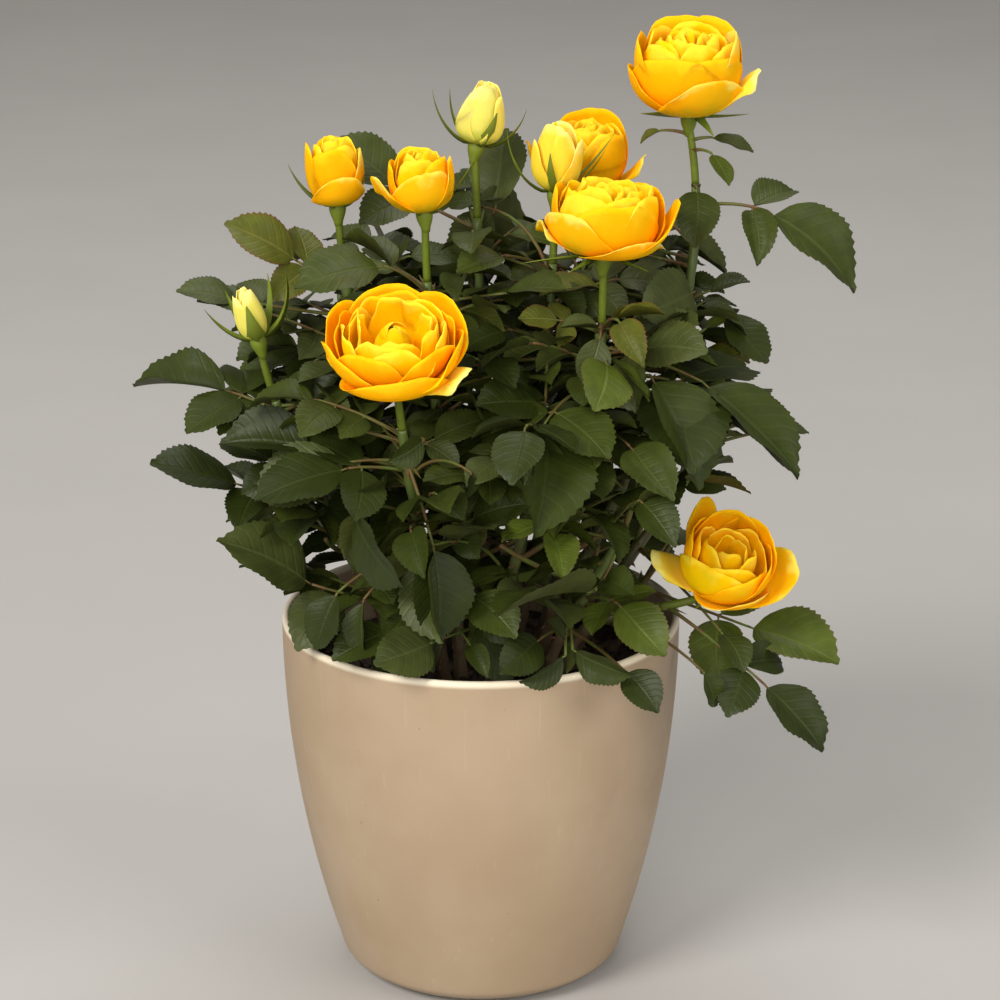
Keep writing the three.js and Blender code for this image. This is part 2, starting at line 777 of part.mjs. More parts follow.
function turned(profile, sides) {
  const points = profile.map(([radius, height]) => new THREE.Vector2(radius, height));
  const body = new THREE.LatheGeometry(points, sides);
  body.rotateX(Math.PI / 2);
  return solidOf(body);
}

const OUTER_HEIGHTS = [0, 2.5, 7.5, 30, 65, 105, 149];
const potProfile = [[0, 0]];
OUTER_HEIGHTS.forEach((height) => potProfile.push([potRadius(height), height]));
potProfile.push([POT_RIM_RADIUS - 0.9, POT_HEIGHT], [POT_RIM_RADIUS - POT_WALL, POT_HEIGHT - 0.4]);
const INNER_HEIGHTS = [110, 60, 24, POT_CORNER_HEIGHT];
INNER_HEIGHTS.forEach((height) => potProfile.push([potRadius(height) - POT_WALL, height]));
potProfile.push([POT_FOOT_RADIUS, POT_FLOOR], [0, POT_FLOOR]);

const compostProfile = [[0, POT_FLOOR + GAP], [POT_FOOT_RADIUS - GAP, POT_FLOOR + GAP]];
[...INNER_HEIGHTS].reverse().forEach((height) => {
  compostProfile.push([potRadius(height) - POT_WALL - 2 * GAP, height + GAP]);
});
compostProfile.push([potRadius(COMPOST_TOP) - POT_WALL - 2 * GAP, COMPOST_TOP], [0, COMPOST_TOP]);

// Materials
const cream = new THREE.MeshStandardMaterial({ color: 0xcbb299, roughness: 0.55, metalness: 0 });
const peat = new THREE.MeshStandardMaterial({ color: 0x2f241b, roughness: 1, metalness: 0 });
const bark = new THREE.MeshStandardMaterial({ color: 0x55612f, roughness: 0.7, metalness: 0 });
const green = new THREE.MeshStandardMaterial({ color: 0x3c4f2c, roughness: 0.5, metalness: 0 });
const yellow = new THREE.MeshStandardMaterial({ color: 0xf7bd16, roughness: 0.6, metalness: 0 });

// The bush
const bush = new THREE.Group();
bush.name = 'rose_bush';
bush.add(meshOf('pot', turned(potProfile, POT_SIDES), cream));
bush.add(meshOf('compost', turned(compostProfile, POT_SIDES), peat));

const STEM_STEPS = 7;
const STALK_STEPS = 3;
SHOOTS.forEach((shoot) => {
  const { name, flower, placed } = shoot;
  const { curve, length, foliageFrom, foliageTo } = shoot.stem;
  const clear = GAP / length;
  const stretch = (from, to, steps) => (
    limb(curve, from, to, stemRadius(from), stemRadius(to), CANE_SIDES, steps, from === 0)
  );
  bush.add(meshOf(`cane_${name}`, stretch(0, foliageFrom, STALK_STEPS), bark));

  const stem = stretch(foliageFrom + clear, foliageTo, STEM_STEPS);
  const twigs = shoot.twigs.map((twig) => limb(twig, 0, 1, TWIG_RADIUS, TWIG_RADIUS * 0.8, 4, 2));
  bush.add(meshOf(`leaves_${name}`, fuse([stem, ...twigs, ...placed.map(leafSolid)]), green));

  if (flower) {
    const stalk = stretch(foliageTo + clear, 1, STALK_STEPS);
    const kind = flower.kind === 'bud' ? 'bud' : 'rose';
    bush.add(meshOf(`${kind}_${name}`, fuse([stalk, ...flowerSolids(shoot)]), yellow));
  }
});

export default bush;
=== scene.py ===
# A miniature yellow rose bush in a plain cream cover pot.
# The sizes below are in millimetres and become metres where a mesh is made. The origin is the middle of
# the pot's flat underside, Z is up, and -Y is the front.

import math

import bpy
import numpy as np
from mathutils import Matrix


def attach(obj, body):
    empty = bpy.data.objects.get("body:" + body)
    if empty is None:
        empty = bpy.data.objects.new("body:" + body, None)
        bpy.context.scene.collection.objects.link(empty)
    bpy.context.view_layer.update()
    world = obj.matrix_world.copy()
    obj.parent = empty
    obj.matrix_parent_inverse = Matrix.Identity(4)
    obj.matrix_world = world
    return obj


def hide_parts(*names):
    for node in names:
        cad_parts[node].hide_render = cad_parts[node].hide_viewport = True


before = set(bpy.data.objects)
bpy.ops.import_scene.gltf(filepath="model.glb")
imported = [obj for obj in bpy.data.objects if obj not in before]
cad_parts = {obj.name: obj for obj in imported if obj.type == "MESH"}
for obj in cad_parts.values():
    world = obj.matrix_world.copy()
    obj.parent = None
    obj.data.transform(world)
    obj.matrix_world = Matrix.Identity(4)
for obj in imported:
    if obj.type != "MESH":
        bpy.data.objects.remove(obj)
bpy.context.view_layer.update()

# Cover pot
# A round tapering pot of thick matt plastic, moulded in one piece and cream right through.
# The wall ends in a rounded lip whose top carries a painted highlight, a paler ivory band, and the foot is
# flat with a soft corner.

POT_HEIGHT = 150.0
POT_RIM_RADIUS = 80.0
POT_FOOT_RADIUS = 43.0
POT_CORNER_HEIGHT = 7.5
POT_TAPER = 25.0
POT_TAPER_POWER = 2.06
POT_WALL = 3.0
POT_FLOOR = 4.0
POT_SIDES = 160
LIP_ROUND = 1.35
FOOT_RECESS = 0.6

CREAM = (0.372, 0.277, 0.184, 1)
CREAM_WARM = (0.338, 0.245, 0.155, 1)
# Pale ivory: the colour of the light scratches, and of the painted highlight along the top of the lip
SCRATCH_AND_LIP_HIGHLIGHT = (0.760, 0.680, 0.520, 1)
DRIP_BROWN = (0.330, 0.230, 0.140, 1)
SPECK_BROWN = (0.090, 0.060, 0.038, 1)
DRIP_STRETCH = (95.0, 95.0, 7.0)
SCRATCH_STRETCH = (520.0, 520.0, 26.0)
SCRATCH_SLANT = (0.5, 0.35, 0)
# Heights in metres over which the painted highlight on the lip fades in
LIP_HIGHLIGHT_FROM = 0.1468
LIP_HIGHLIGHT_TO = 0.1486


def add_piece(name, points, face_rows, finishes, stands_for=(), uvs=None, finish_rows=None):
    """A smooth mesh piece from points in millimetres and blocks of faces, each block with its own finish."""
    blocks = [np.asarray(rows, dtype=np.int32) for rows in face_rows]
    corners = np.concatenate([rows.ravel() for rows in blocks])
    sizes = np.concatenate([np.full(len(rows), rows.shape[1], dtype=np.int32) for rows in blocks])
    starts = np.concatenate([[0], np.cumsum(sizes)[:-1]]).astype(np.int32)
    mesh = bpy.data.meshes.new(name)
    mesh.vertices.add(len(points))
    mesh.vertices.foreach_set("co", (np.asarray(points, dtype=np.float32) * 0.001).ravel())
    mesh.loops.add(len(corners))
    mesh.loops.foreach_set("vertex_index", corners)
    mesh.polygons.add(len(sizes))
    mesh.polygons.foreach_set("loop_start", starts)
    mesh.polygons.foreach_set("use_smooth", np.ones(len(sizes), dtype=bool))
    if finish_rows is not None:
        numbers = [np.full(len(rows), n, dtype=np.int32) for rows, n in zip(blocks, finish_rows)]
        mesh.polygons.foreach_set("material_index", np.concatenate(numbers))
    mesh.update(calc_edges=True)
    if uvs is not None:
        layer = mesh.uv_layers.new(name="lie_of_piece")
        layer.data.foreach_set("uv", np.asarray(uvs, dtype=np.float32)[corners].ravel())
    mesh.validate()
    for finish in finishes:
        mesh.materials.append(finish)
    piece = bpy.data.objects.new(name, mesh)
    bpy.context.scene.collection.objects.link(piece)
    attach(piece, "root")
    if stands_for:
        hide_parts(*stands_for)


def ring_faces(rings, sides):
    """Faces between closed rings of points, each ring joined to the next."""
    ring = np.arange(sides)
    after = (ring + 1) % sides
    around = np.stack([ring, after, sides + after, sides + ring], 1)
    return np.concatenate([around + i * sides for i in range(rings - 1)])


def turned(profile, sides):
    """Points and faces of a body of revolution from its profile of radius and height, closed on the axis."""
    radii = np.array([max(r, 1e-3) for r, _ in profile])
    heights = np.array([h for _, h in profile])
    angles = np.linspace(0, 2 * math.pi, sides, endpoint=False)
    points = np.empty((len(profile), sides, 3))
    points[:, :, 0] = radii[:, None] * np.cos(angles)
    points[:, :, 1] = radii[:, None] * np.sin(angles)
    points[:, :, 2] = heights[:, None]
    return points.reshape(-1, 3), ring_faces(len(profile), sides)


def pot_radius(height):
    """Outer radius of the wall at a height."""
    wall = POT_RIM_RADIUS - POT_TAPER * (1 - height / POT_HEIGHT) ** POT_TAPER_POWER
    if height >= POT_CORNER_HEIGHT:
        return wall
    corner = 1 - height / POT_CORNER_HEIGHT
    return wall - (wall - POT_FOOT_RADIUS) * (1 - math.sqrt(max(0, 1 - corner**2)))


def place(tree, kind, inputs=None, **settings):
    """A shader node with its inputs set or linked."""
    node = tree.nodes.new(kind)
    for key, value in settings.items():
        setattr(node, key, value)
    for key, value in (inputs or {}).items():
        if isinstance(value, bpy.types.NodeSocket):
            tree.links.new(value, node.inputs[key])
        else:
            node.inputs[key].default_value = value
    return node


def mixed(tree, share, first, second):
    """The colour between two colours, by a share."""
    return place(tree, "ShaderNodeMix", {0: share, 6: first, 7: second}, data_type="RGBA").outputs[2]


def stepped(tree, value, low, high, to_low=0.0, to_high=1.0):
    """A value brought from one range to another with soft ends."""
    inputs = {"Value": value, "From Min": low, "From Max": high, "To Min": to_low, "To Max": to_high}
    return place(tree, "ShaderNodeMapRange", inputs, interpolation_type="SMOOTHSTEP").outputs["Result"]


def sums(tree, how, first, second=0.0):
    """Arithmetic on two values."""
    return place(tree, "ShaderNodeMath", {0: first, 1: second}, operation=how).outputs[0]


def times(tree, first, second):
    return sums(tree, "MULTIPLY", first, second)


def seat_in(tree):
    """Where a point lies on the object."""
    return tree.nodes.new("ShaderNodeTexCoord").outputs["Object"]


def noise(tree, where, scale, detail):
    """A soft random value at each place, with so many patches to the metre."""
    return place(tree, "ShaderNodeTexNoise", {"Vector": where, "Scale": scale, "Detail": detail}).outputs[0]


def new_effect(name, takes, gives):
    """A node group with named inputs and outputs."""
    effect = bpy.data.node_groups.new(name, "ShaderNodeTree")
    for label, (kind, value) in takes.items():
        socket = effect.interface.new_socket(label, in_out="INPUT", socket_type=kind)
        socket.default_value = value
    for label, kind in gives.items():
        effect.interface.new_socket(label, in_out="OUTPUT", socket_type=kind)
    return effect, effect.nodes.new("NodeGroupInput").outputs, effect.nodes.new("NodeGroupOutput").inputs


def new_finish(name):
    """An empty material with one shader on its output."""
    finish = bpy.data.materials.new(name)
    finish.use_nodes = True
    tree = finish.node_tree
    tree.nodes.clear()
    shader = tree.nodes.new("ShaderNodeBsdfPrincipled")
    output = tree.nodes.new("ShaderNodeOutputMaterial")
    tree.links.new(shader.outputs[0], output.inputs[0])
    return finish, tree, shader


def use_effect(tree, effect, **inputs):
    """Places an effect in a material with its own values."""
    return place(tree, "ShaderNodeGroup", inputs, node_tree=effect).outputs


def coloured(tree, shader, colour, roughness, specular=0.5):
    """Gives a finish its colour, how dull it is and how strongly it shines."""
    tree.links.new(colour, shader.inputs["Base Color"])
    shader.inputs["Roughness"].default_value = roughness
    shader.inputs["Specular IOR Level"].default_value = specular


def in_relief(tree, shader, height, strength, depth):
    """Lets a height over the surface catch the light. depth is in metres."""
    bump = place(tree, "ShaderNodeBump", {"Height": height, "Strength": strength, "Distance": depth})
    tree.links.new(bump.outputs[0], shader.inputs["Normal"])


# Uneven tone: two colours dealt by a soft noise, and a fine grain for relief
COLOUR = "NodeSocketColor"
NUMBER = "NodeSocketFloat"
WHITE = (1, 1, 1, 1)
BLACK = (0, 0, 0, 1)
uneven_tone, given, wanted = new_effect(
    "uneven_tone",
    {"First": (COLOUR, WHITE), "Second": (COLOUR, BLACK), "Patch": (NUMBER, 40.0), "Grain": (NUMBER, 900.0)},
    {"Colour": COLOUR, "Share": NUMBER, "Relief": NUMBER},
)
seat = seat_in(uneven_tone)
share = stepped(uneven_tone, noise(uneven_tone, seat, given["Patch"], 4.0), 0.32, 0.68)
uneven_tone.links.new(mixed(uneven_tone, share, given["First"], given["Second"]), wanted["Colour"])
uneven_tone.links.new(share, wanted["Share"])
uneven_tone.links.new(noise(uneven_tone, seat, given["Grain"], 2.0), wanted["Relief"])

cream_plastic, tree, shader = new_finish("cream_plastic")
seat = seat_in(tree)
tone = use_effect(tree, uneven_tone, First=CREAM, Second=CREAM_WARM, Patch=22.0, Grain=1300.0)
lengthwise = place(tree, "ShaderNodeMapping", {"Vector": seat, "Scale": DRIP_STRETCH})
drips = stepped(tree, noise(tree, lengthwise.outputs[0], 1.0, 3.0), 0.56, 0.78)
colour = mixed(tree, times(tree, drips, 0.20), tone["Colour"], DRIP_BROWN)
specks = place(tree, "ShaderNodeTexVoronoi", {"Vector": seat, "Scale": 170.0, "Randomness": 1.0})
speck_dot = stepped(tree, specks.outputs["Distance"], 0.035, 0.075, 1.0, 0.0)
rare = stepped(tree, noise(tree, seat, 31.0, 1.0), 0.58, 0.66, 0.0, 0.7)
colour = mixed(tree, times(tree, speck_dot, rare), colour, SPECK_BROWN)
slanted = {"Vector": seat, "Scale": SCRATCH_STRETCH, "Rotation": SCRATCH_SLANT}
slanted = place(tree, "ShaderNodeMapping", slanted)
scratch = stepped(tree, noise(tree, slanted.outputs[0], 1.0, 1.0), 0.70, 0.74)
height_up = place(tree, "ShaderNodeSeparateXYZ", {0: seat}).outputs["Z"]
# Light scratches in pale ivory, then a painted highlight: the top of the lip mixed toward the same ivory
lip_highlight_share = stepped(tree, height_up, LIP_HIGHLIGHT_FROM, LIP_HIGHLIGHT_TO)
colour = mixed(tree, times(tree, scratch, 0.04), colour, SCRATCH_AND_LIP_HIGHLIGHT)
colour = mixed(tree, times(tree, lip_highlight_share, 0.85), colour, SCRATCH_AND_LIP_HIGHLIGHT)
tree.links.new(colour, shader.inputs["Base Color"])
tree.links.new(stepped(tree, tone["Share"], 0.0, 1.0, 0.42, 0.54), shader.inputs["Roughness"])
shader.inputs["Specular IOR Level"].default_value = 0.3
in_relief(tree, shader, sums(tree, "SUBTRACT", tone["Relief"], times(tree, scratch, 0.8)), 0.10, 0.0004)

pot_profile = [(0, FOOT_RECESS), (30, FOOT_RECESS), (POT_FOOT_RADIUS - 4, 0.5), (POT_FOOT_RADIUS - 2.5, 0.0)]
pot_profile.append((POT_FOOT_RADIUS, 0.0))
for share in np.linspace(0.06, 1, 14):
    height = POT_CORNER_HEIGHT * share**1.6
    pot_profile.append((pot_radius(height), height))
for height in np.linspace(POT_CORNER_HEIGHT + 4, POT_HEIGHT - LIP_ROUND - 1, 34):
    pot_profile.append((pot_radius(height), height))
lip_middle = POT_RIM_RADIUS - LIP_ROUND - 0.02
for turn in np.linspace(0, math.pi, 11):
    height = POT_HEIGHT - LIP_ROUND + LIP_ROUND * math.sin(turn)
    pot_profile.append((lip_middle + LIP_ROUND * math.cos(turn), height))
for height in np.linspace(POT_HEIGHT - 3, POT_CORNER_HEIGHT, 24):
    pot_profile.append((pot_radius(height) - POT_WALL, height))
pot_profile += [(POT_FOOT_RADIUS, POT_FLOOR), (0, POT_FLOOR)]
pot_points, pot_faces = turned(pot_profile, POT_SIDES)
add_piece("pot", pot_points, [pot_faces], [cream_plastic], ["pot"])

# Compost
# Dark peat with crumbs and chips of bark, loosely filled to 25 mm below the lip.
# It is one filled body that follows the inside of the pot, with crumbs lying on top.

COMPOST_TOP = 125.0
GAP = 0.3
COMPOST_RINGS = 46
COMPOST_SIDES = 120
WALL_RING_HEIGHTS = [112, 96, 80, 60, 40, 24, POT_CORNER_HEIGHT + GAP]
LUMP_HEIGHT = 2.2
CRUMBLE_HEIGHT = 1.5
WALL_DIP = 1.2
WALL_DIP_FROM = 60
WALL_DIP_WIDTH = 16
CRUMBS = 520
CRUMB_SIZES = (0.8, 2.4)
CHIPS = 90
CHIP_SIZES = (2.2, 5.2)
LUMP_ROUGHNESS = 0.22
LUMP_LEAN = 0.5
LUMP_SHOWING = 0.35
PEAT = (0.020, 0.0125, 0.0080, 1)
PEAT_BROWN = (0.055, 0.034, 0.020, 1)
CHIP_BROWN = (0.105, 0.062, 0.034, 1)


def ripples(rng, count, low, high):
    """A smooth random function of a place: a sum of waves in all directions."""
    turns = rng.uniform(0, 2 * math.pi, (count, 3))
    lengths = rng.uniform(low, high, count)
    ways = np.stack([np.cos(turns[:, 0]), np.sin(turns[:, 0]), np.cos(turns[:, 1])], 1)
    waves = ways * (2 * math.pi / lengths)[:, None]

    def value(points):
        return np.sin(np.asarray(points) @ waves.T + turns[:, 2]).mean(axis=-1)

    return value


def two_tone(name, tones, patch, grain, roughness, relief=None, specular=0.5):
    """A finish of two close tones in soft patches. relief holds the strength and depth of a fine grain."""
    finish, tree, shader = new_finish(name)
    tone = use_effect(tree, uneven_tone, First=tones[0], Second=tones[1], Patch=patch, Grain=grain)
    coloured(tree, shader, tone["Colour"], roughness, specular)
    if relief:
        in_relief(tree, shader, tone["Relief"], *relief)
    return finish


peat = two_tone("peat", (PEAT, PEAT_BROWN), 210.0, 1500.0, 0.95, (0.8, 0.0012))
bark_chip = two_tone("bark_chip", (CHIP_BROWN, PEAT_BROWN), 320.0, 1800.0, 0.85, (0.6, 0.0008))

rng = np.random.default_rng(51)
lumps = ripples(rng, 14, 9, 34)
crumble = ripples(rng, 22, 2.2, 6)
compost_edge = pot_radius(COMPOST_TOP) - POT_WALL - 0.2


def compost_height(x, y):
    """Height of the peat's surface: lumpy, and a little lower along the wall."""
    place_at = np.stack([x, y, np.zeros_like(x)], -1)
    away = np.clip((np.hypot(x, y) - WALL_DIP_FROM) / WALL_DIP_WIDTH, 0, 1)
    rough = COMPOST_TOP - 0.9 + LUMP_HEIGHT * lumps(place_at) + CRUMBLE_HEIGHT * crumble(place_at)
    return rough - WALL_DIP * away**2


angles = np.linspace(0, 2 * math.pi, COMPOST_SIDES, endpoint=False)
surface = []
for radius in np.linspace(0.05, compost_edge, COMPOST_RINGS):
    x, y = radius * np.cos(angles), radius * np.sin(angles)
    surface.append(np.stack([x, y, compost_height(x, y)], 1))
below = [(pot_radius(height) - POT_WALL - 0.2, height) for height in WALL_RING_HEIGHTS]
below += [(POT_FOOT_RADIUS - GAP, POT_FLOOR + GAP), (0.05, POT_FLOOR + GAP)]
for radius, height in below:
    level = np.full_like(angles, height)
    surface.append(np.stack([radius * np.cos(angles), radius * np.sin(angles), level], 1))
compost_faces = ring_faces(len(surface), COMPOST_SIDES)[:, [0, 3, 2, 1]]
add_piece("compost", np.concatenate(surface), [compost_faces], [peat], ["compost"])

# A rough lump: a ball of twenty faces, each cut in four, then pushed in and out
PHI = (1 + math.sqrt(5)) / 2
BALL = np.array([
    (-1, PHI, 0), (1, PHI, 0), (-1, -PHI, 0), (1, -PHI, 0), (0, -1, PHI), (0, 1, PHI),
    (0, -1, -PHI), (0, 1, -PHI), (PHI, 0, -1), (PHI, 0, 1), (-PHI, 0, -1), (-PHI, 0, 1),
]) / math.hypot(1, PHI)
BALL_FACES = np.array([
    (0, 11, 5), (0, 5, 1), (0, 1, 7), (0, 7, 10), (0, 10, 11), (1, 5, 9), (5, 11, 4), (11, 10, 2), (10, 7, 6),
    (7, 1, 8), (3, 9, 4), (3, 4, 2), (3, 2, 6), (3, 6, 8), (3, 8, 9), (4, 9, 5), (2, 4, 11), (6, 2, 10),
    (8, 6, 7), (9, 8, 1),
])


def finer_ball(points, faces):
    """The same ball with each face cut in four."""
    points = list(map(tuple, points))
    halves = {}

    def half(a, b):
        key = (min(a, b), max(a, b))
        if key not in halves:
            middle = (np.array(points[a]) + np.array(points[b])) / 2
            points.append(tuple(middle / np.linalg.norm(middle)))
            halves[key] = len(points) - 1
        return halves[key]

    cut = []
    for a, b, c in faces:
        ab, bc, ca = half(a, b), half(b, c), half(c, a)
        cut += [(a, ab, ca), (b, bc, ab), (c, ca, bc), (ab, bc, ca)]
    return np.array(points), np.array(cut)


ball_points, ball_faces = finer_ball(BALL, BALL_FACES)


def scattered(count, sizes, flat, seed):
    """Rough lumps lying on the peat. flat is the range of their thickness as a share of their size."""
    rng = np.random.default_rng(seed)
    points, faces = [], []
    for i in range(count):
        # Where it lies, its size, then how it leans and is turned
        radius = (compost_edge - 4) * math.sqrt(rng.uniform())
        turn = rng.uniform(0, 2 * math.pi)
        x, y = radius * math.cos(turn), radius * math.sin(turn)
        size = rng.uniform(*sizes) * np.array([1, rng.uniform(0.5, 0.9), rng.uniform(*flat)])
        rough = ball_points * (1 + LUMP_ROUGHNESS * rng.standard_normal((len(ball_points), 1)))
        spin, lean = rng.uniform(0, 2 * math.pi), rng.uniform(-LUMP_LEAN, LUMP_LEAN)
        c, s = math.cos(lean), math.sin(lean)
        lump = rough * size @ np.array([[c, 0, s], [0, 1, 0], [-s, 0, c]])
        c, s = math.cos(spin), math.sin(spin)
        lump = lump @ np.array([[c, s, 0], [-s, c, 0], [0, 0, 1]])
        ground = compost_height(np.array(x), np.array(y))
        points.append(lump + [x, y, float(ground) + size[2] * LUMP_SHOWING])
        faces.append(ball_faces + i * len(ball_points))
    return np.concatenate(points), np.concatenate(faces)


crumb_points, crumb_faces = scattered(CRUMBS, CRUMB_SIZES, (0.5, 0.9), 52)
add_piece("peat_crumbs", crumb_points, [crumb_faces], [peat])
chip_points, chip_faces = scattered(CHIPS, CHIP_SIZES, (0.16, 0.34), 53)
add_piece("bark_chips", chip_points, [chip_faces], [bark_chip])

# Canes
# Seventeen woody canes that come up through the compost, each about 5 mm thick at the foot and grown from
# one smooth bend. The bark is thin, ribbed lengthwise and olive brown, with short prickles.

CANE_FOOT_RADIUS = 2.6
CANE_TIP_RADIUS = 1.5
FOLIAGE_FOOT_HEIGHT = 30.0
FLOWER_STALK = 24.0
CANE_SIDES = 18
CANE_BURIED = 3.0
CANE_SWELLING = 0.16
KNUCKLE_SWELLING = 0.10
BARK_OLIVE = (0.085, 0.088, 0.032, 1)
BARK_BROWN = (0.105, 0.062, 0.030, 1)
THORN_RED = (0.200, 0.062, 0.030, 1)
RIB_STRETCH = (1400.0, 1400.0, 110.0)

# foot, knee, shoulder and tip steer the stem from the compost to its tip. turn is the bearing of the first
# leaf: 0 points right, 90 to the back, 180 left, 270 to the front. leaves lists the leaves that give the
# crown its outline: height on the stem, bearing, rise at the stem, pitch at the end, stalk length, end
# leaflet, leaflets, roll, and the size of the side leaflets where they are not of the usual size. These rows
# were fitted to leaves measured in the photo and rounded to whole millimetres and degrees.
SHOOTS = [
    dict(name="right_tall", turn=20, foot=(18, 4), knee=(58, 2, 200), shoulder=(96, 12, 270),
         tip=(81, 15, 345),
         flower=dict(kind="open", width=46, height=40, tilt=2, toward=275),
         leaves=[(313, 341, 16, -45, 30, 49, 3, -26, 0.66), (320, 268, 33, -44, 15, 28, 1, 3),
                 (276, 348, 27, 16, 9, 18, 1, -21), (268, 60, 20, -25, 20, 28, 3, -20)]),
    dict(name="right_back", turn=60, foot=(14, 20), knee=(26, 34, 190), shoulder=(44, 36, 250),
         tip=(43, 37, 310),
         flower=dict(kind="open", width=40, height=34, tilt=3, toward=260),
         leaves=[]),
    dict(name="right_inner", turn=200, foot=(8, -4), knee=(18, -4, 190), shoulder=(28, 0, 250),
         tip=(29, 2, 318),
         flower=dict(kind="cup", width=21, height=30, tilt=3, toward=20),
         leaves=[(282, 257, 43, -4, 15, 49, 3, 49, 0.8), (286, 142, 70, -84, 60, 55, 3, 67, 0.8)]),
    dict(name="right_front", turn=300, foot=(22, -12), knee=(36, -18, 190), shoulder=(48, -22, 240),
         tip=(47, -25, 299),
         flower=dict(kind="open", width=53, height=32, tilt=4, toward=0),
         leaves=[(254, 345, 11, -40, 41, 54, 3, -11, 1.1), (270, 268, 47, -75, 38, 20, 3, 21),
                 (263, 317, 18, 12, 20, 33, 3, -40, 1.06), (248, 239, 21, -85, 46, 40, 3, -3, 1.02),
                 (226, 239, 66, -85, 31, 25, 3, -57, 0.7)]),
    dict(name="middle", turn=110, foot=(0, 10), knee=(4, 10, 190), shoulder=(0, 8, 260), tip=(-2, 10, 335),
         flower=dict(kind="bud", width=19, height=28, tilt=10, toward=0),
         leaves=[(305, 155, 16, 35, 37, 35, 3, 20, 0.9), (292, 286, 27, -56, 26, 50, 3, 29, 0.7)]),
    dict(name="middle_left", turn=250, foot=(-8, -8), knee=(-12, -8, 190), shoulder=(-20, -12, 250),
         tip=(-21, -15, 314),
         flower=dict(kind="cup", width=31, height=29, tilt=6, toward=195),
         leaves=[(284, 215, 52, -11, 26, 37, 3, 27, 0.9)]),
    dict(name="left_tall", turn=150, foot=(-16, 6), knee=(-30, 4, 190), shoulder=(-50, 0, 240),
         tip=(-55, 0, 313),
         flower=dict(kind="cup", width=25, height=30, tilt=3, toward=190),
         leaves=[(284, 190, 29, 34, 22, 33, 3, 40, 0.8), (258, 190, 30, 14, 38, 30, 5, 15)]),
    dict(name="front_left", turn=230, foot=(-14, -20), knee=(-20, -36, 180), shoulder=(-28, -58, 225),
         tip=(-31, -64, 264),
         flower=dict(kind="open", width=54, height=31, tilt=20, toward=268),
         leaves=[(227, 177, 15, 2, 36, 38, 3, 31, 0.8), (164, 187, 4, 39, 49, 44, 3, 38, 0.8),
                 (189, 219, 9, -66, 44, 25, 1, 12), (194, 227, 66, -85, 53, 39, 3, -62, 0.7),
                 (232, 292, 66, -66, 28, 19, 1, 74), (223, 315, 50, -85, 42, 10, 1, 23)]),
    dict(name="left", turn=170, foot=(-28, -8), knee=(-46, -14, 180), shoulder=(-76, -26, 220),
         tip=(-84, -30, 268),
         flower=dict(kind="bud", width=15, height=25, tilt=15, toward=190),
         leaves=[(241, 163, 24, 1, 21, 44, 5, 18, 0.8)]),
    dict(name="right_low", turn=330, foot=(30, -20), knee=(36, -30, 168), shoulder=(66, -36, 158),
         tip=(93, -33, 170),
         flower=dict(kind="open", width=54, height=29, tilt=27, toward=292),
         leaves=[]),
    dict(name="left_low", turn=190, foot=(-34, 6), knee=(-44, 4, 170), shoulder=(-64, 2, 185),
         tip=(-80, 0, 212),
         leaves=[(196, 199, 18, 21, 28, 40, 3, 13, 0.8)]),
    dict(name="front_middle", turn=270, foot=(4, -28), knee=(8, -40, 170), shoulder=(20, -44, 205),
         tip=(24, -46, 240),
         leaves=[(174, 227, 66, -65, 60, 41, 3, -35, 1.05), (161, 225, -2, 0, 37, 33, 3, 46, 0.8)]),
    dict(name="front_right", turn=290, foot=(22, -32), knee=(30, -44, 160), shoulder=(46, -50, 180),
         tip=(56, -54, 205),
         leaves=[(158, 303, 2, -31, 41, 22, 1, -24), (172, 307, 25, -32, 22, 29, 3, -19, 0.8),
                 (204, 240, -55, 12, 32, 55, 3, -29, 0.45)]),
    dict(name="right_side", turn=10, foot=(36, 4), knee=(56, 6, 175), shoulder=(86, 12, 195),
         tip=(98, 14, 235),
         leaves=[(161, 333, -10, -12, 59, 41, 3, -28, 0.9), (193, 339, 9, -19, 34, 25, 3, -27, 0.8),
                 (215, 359, 20, -1, 27, 16, 3, -17, 0.9)]),
    dict(name="rear_right", turn=50, foot=(24, 28), knee=(40, 44, 180), shoulder=(56, 62, 220),
         tip=(60, 64, 268),
         leaves=[]),
    dict(name="rear_middle", turn=90, foot=(-2, 32), knee=(-2, 52, 180), shoulder=(2, 72, 215),
         tip=(0, 74, 262),
         leaves=[]),
    dict(name="rear_left", turn=130, foot=(-26, 24), knee=(-38, 40, 180), shoulder=(-54, 58, 215),
         tip=(-58, 60, 268),
         leaves=[]),
]


def bend(*corners):
    """A smooth curve through space, steered by three or four corners."""
    steer = [np.array(corner, dtype=float) for corner in corners]

    def at(t):
        t = np.asarray(t, dtype=float)[..., None]
        level = steer
        while len(level) > 1:
            level = [a * (1 - t) + b * t for a, b in zip(level[:-1], level[1:])]
        return level[0]

    return at


def unit(vector):
    return vector / np.linalg.norm(vector)


def lie(curve, t):
    """Direction of a curve at a share of its way."""
    return unit(curve(min(t + 0.0001, 1.0)) - curve(max(t - 0.0001, 0.0)))


def way_along(curve):
    """Length of a curve."""
    points = curve(np.linspace(0, 1, 201))
    return float(np.linalg.norm(np.diff(points, axis=0), axis=1).sum())


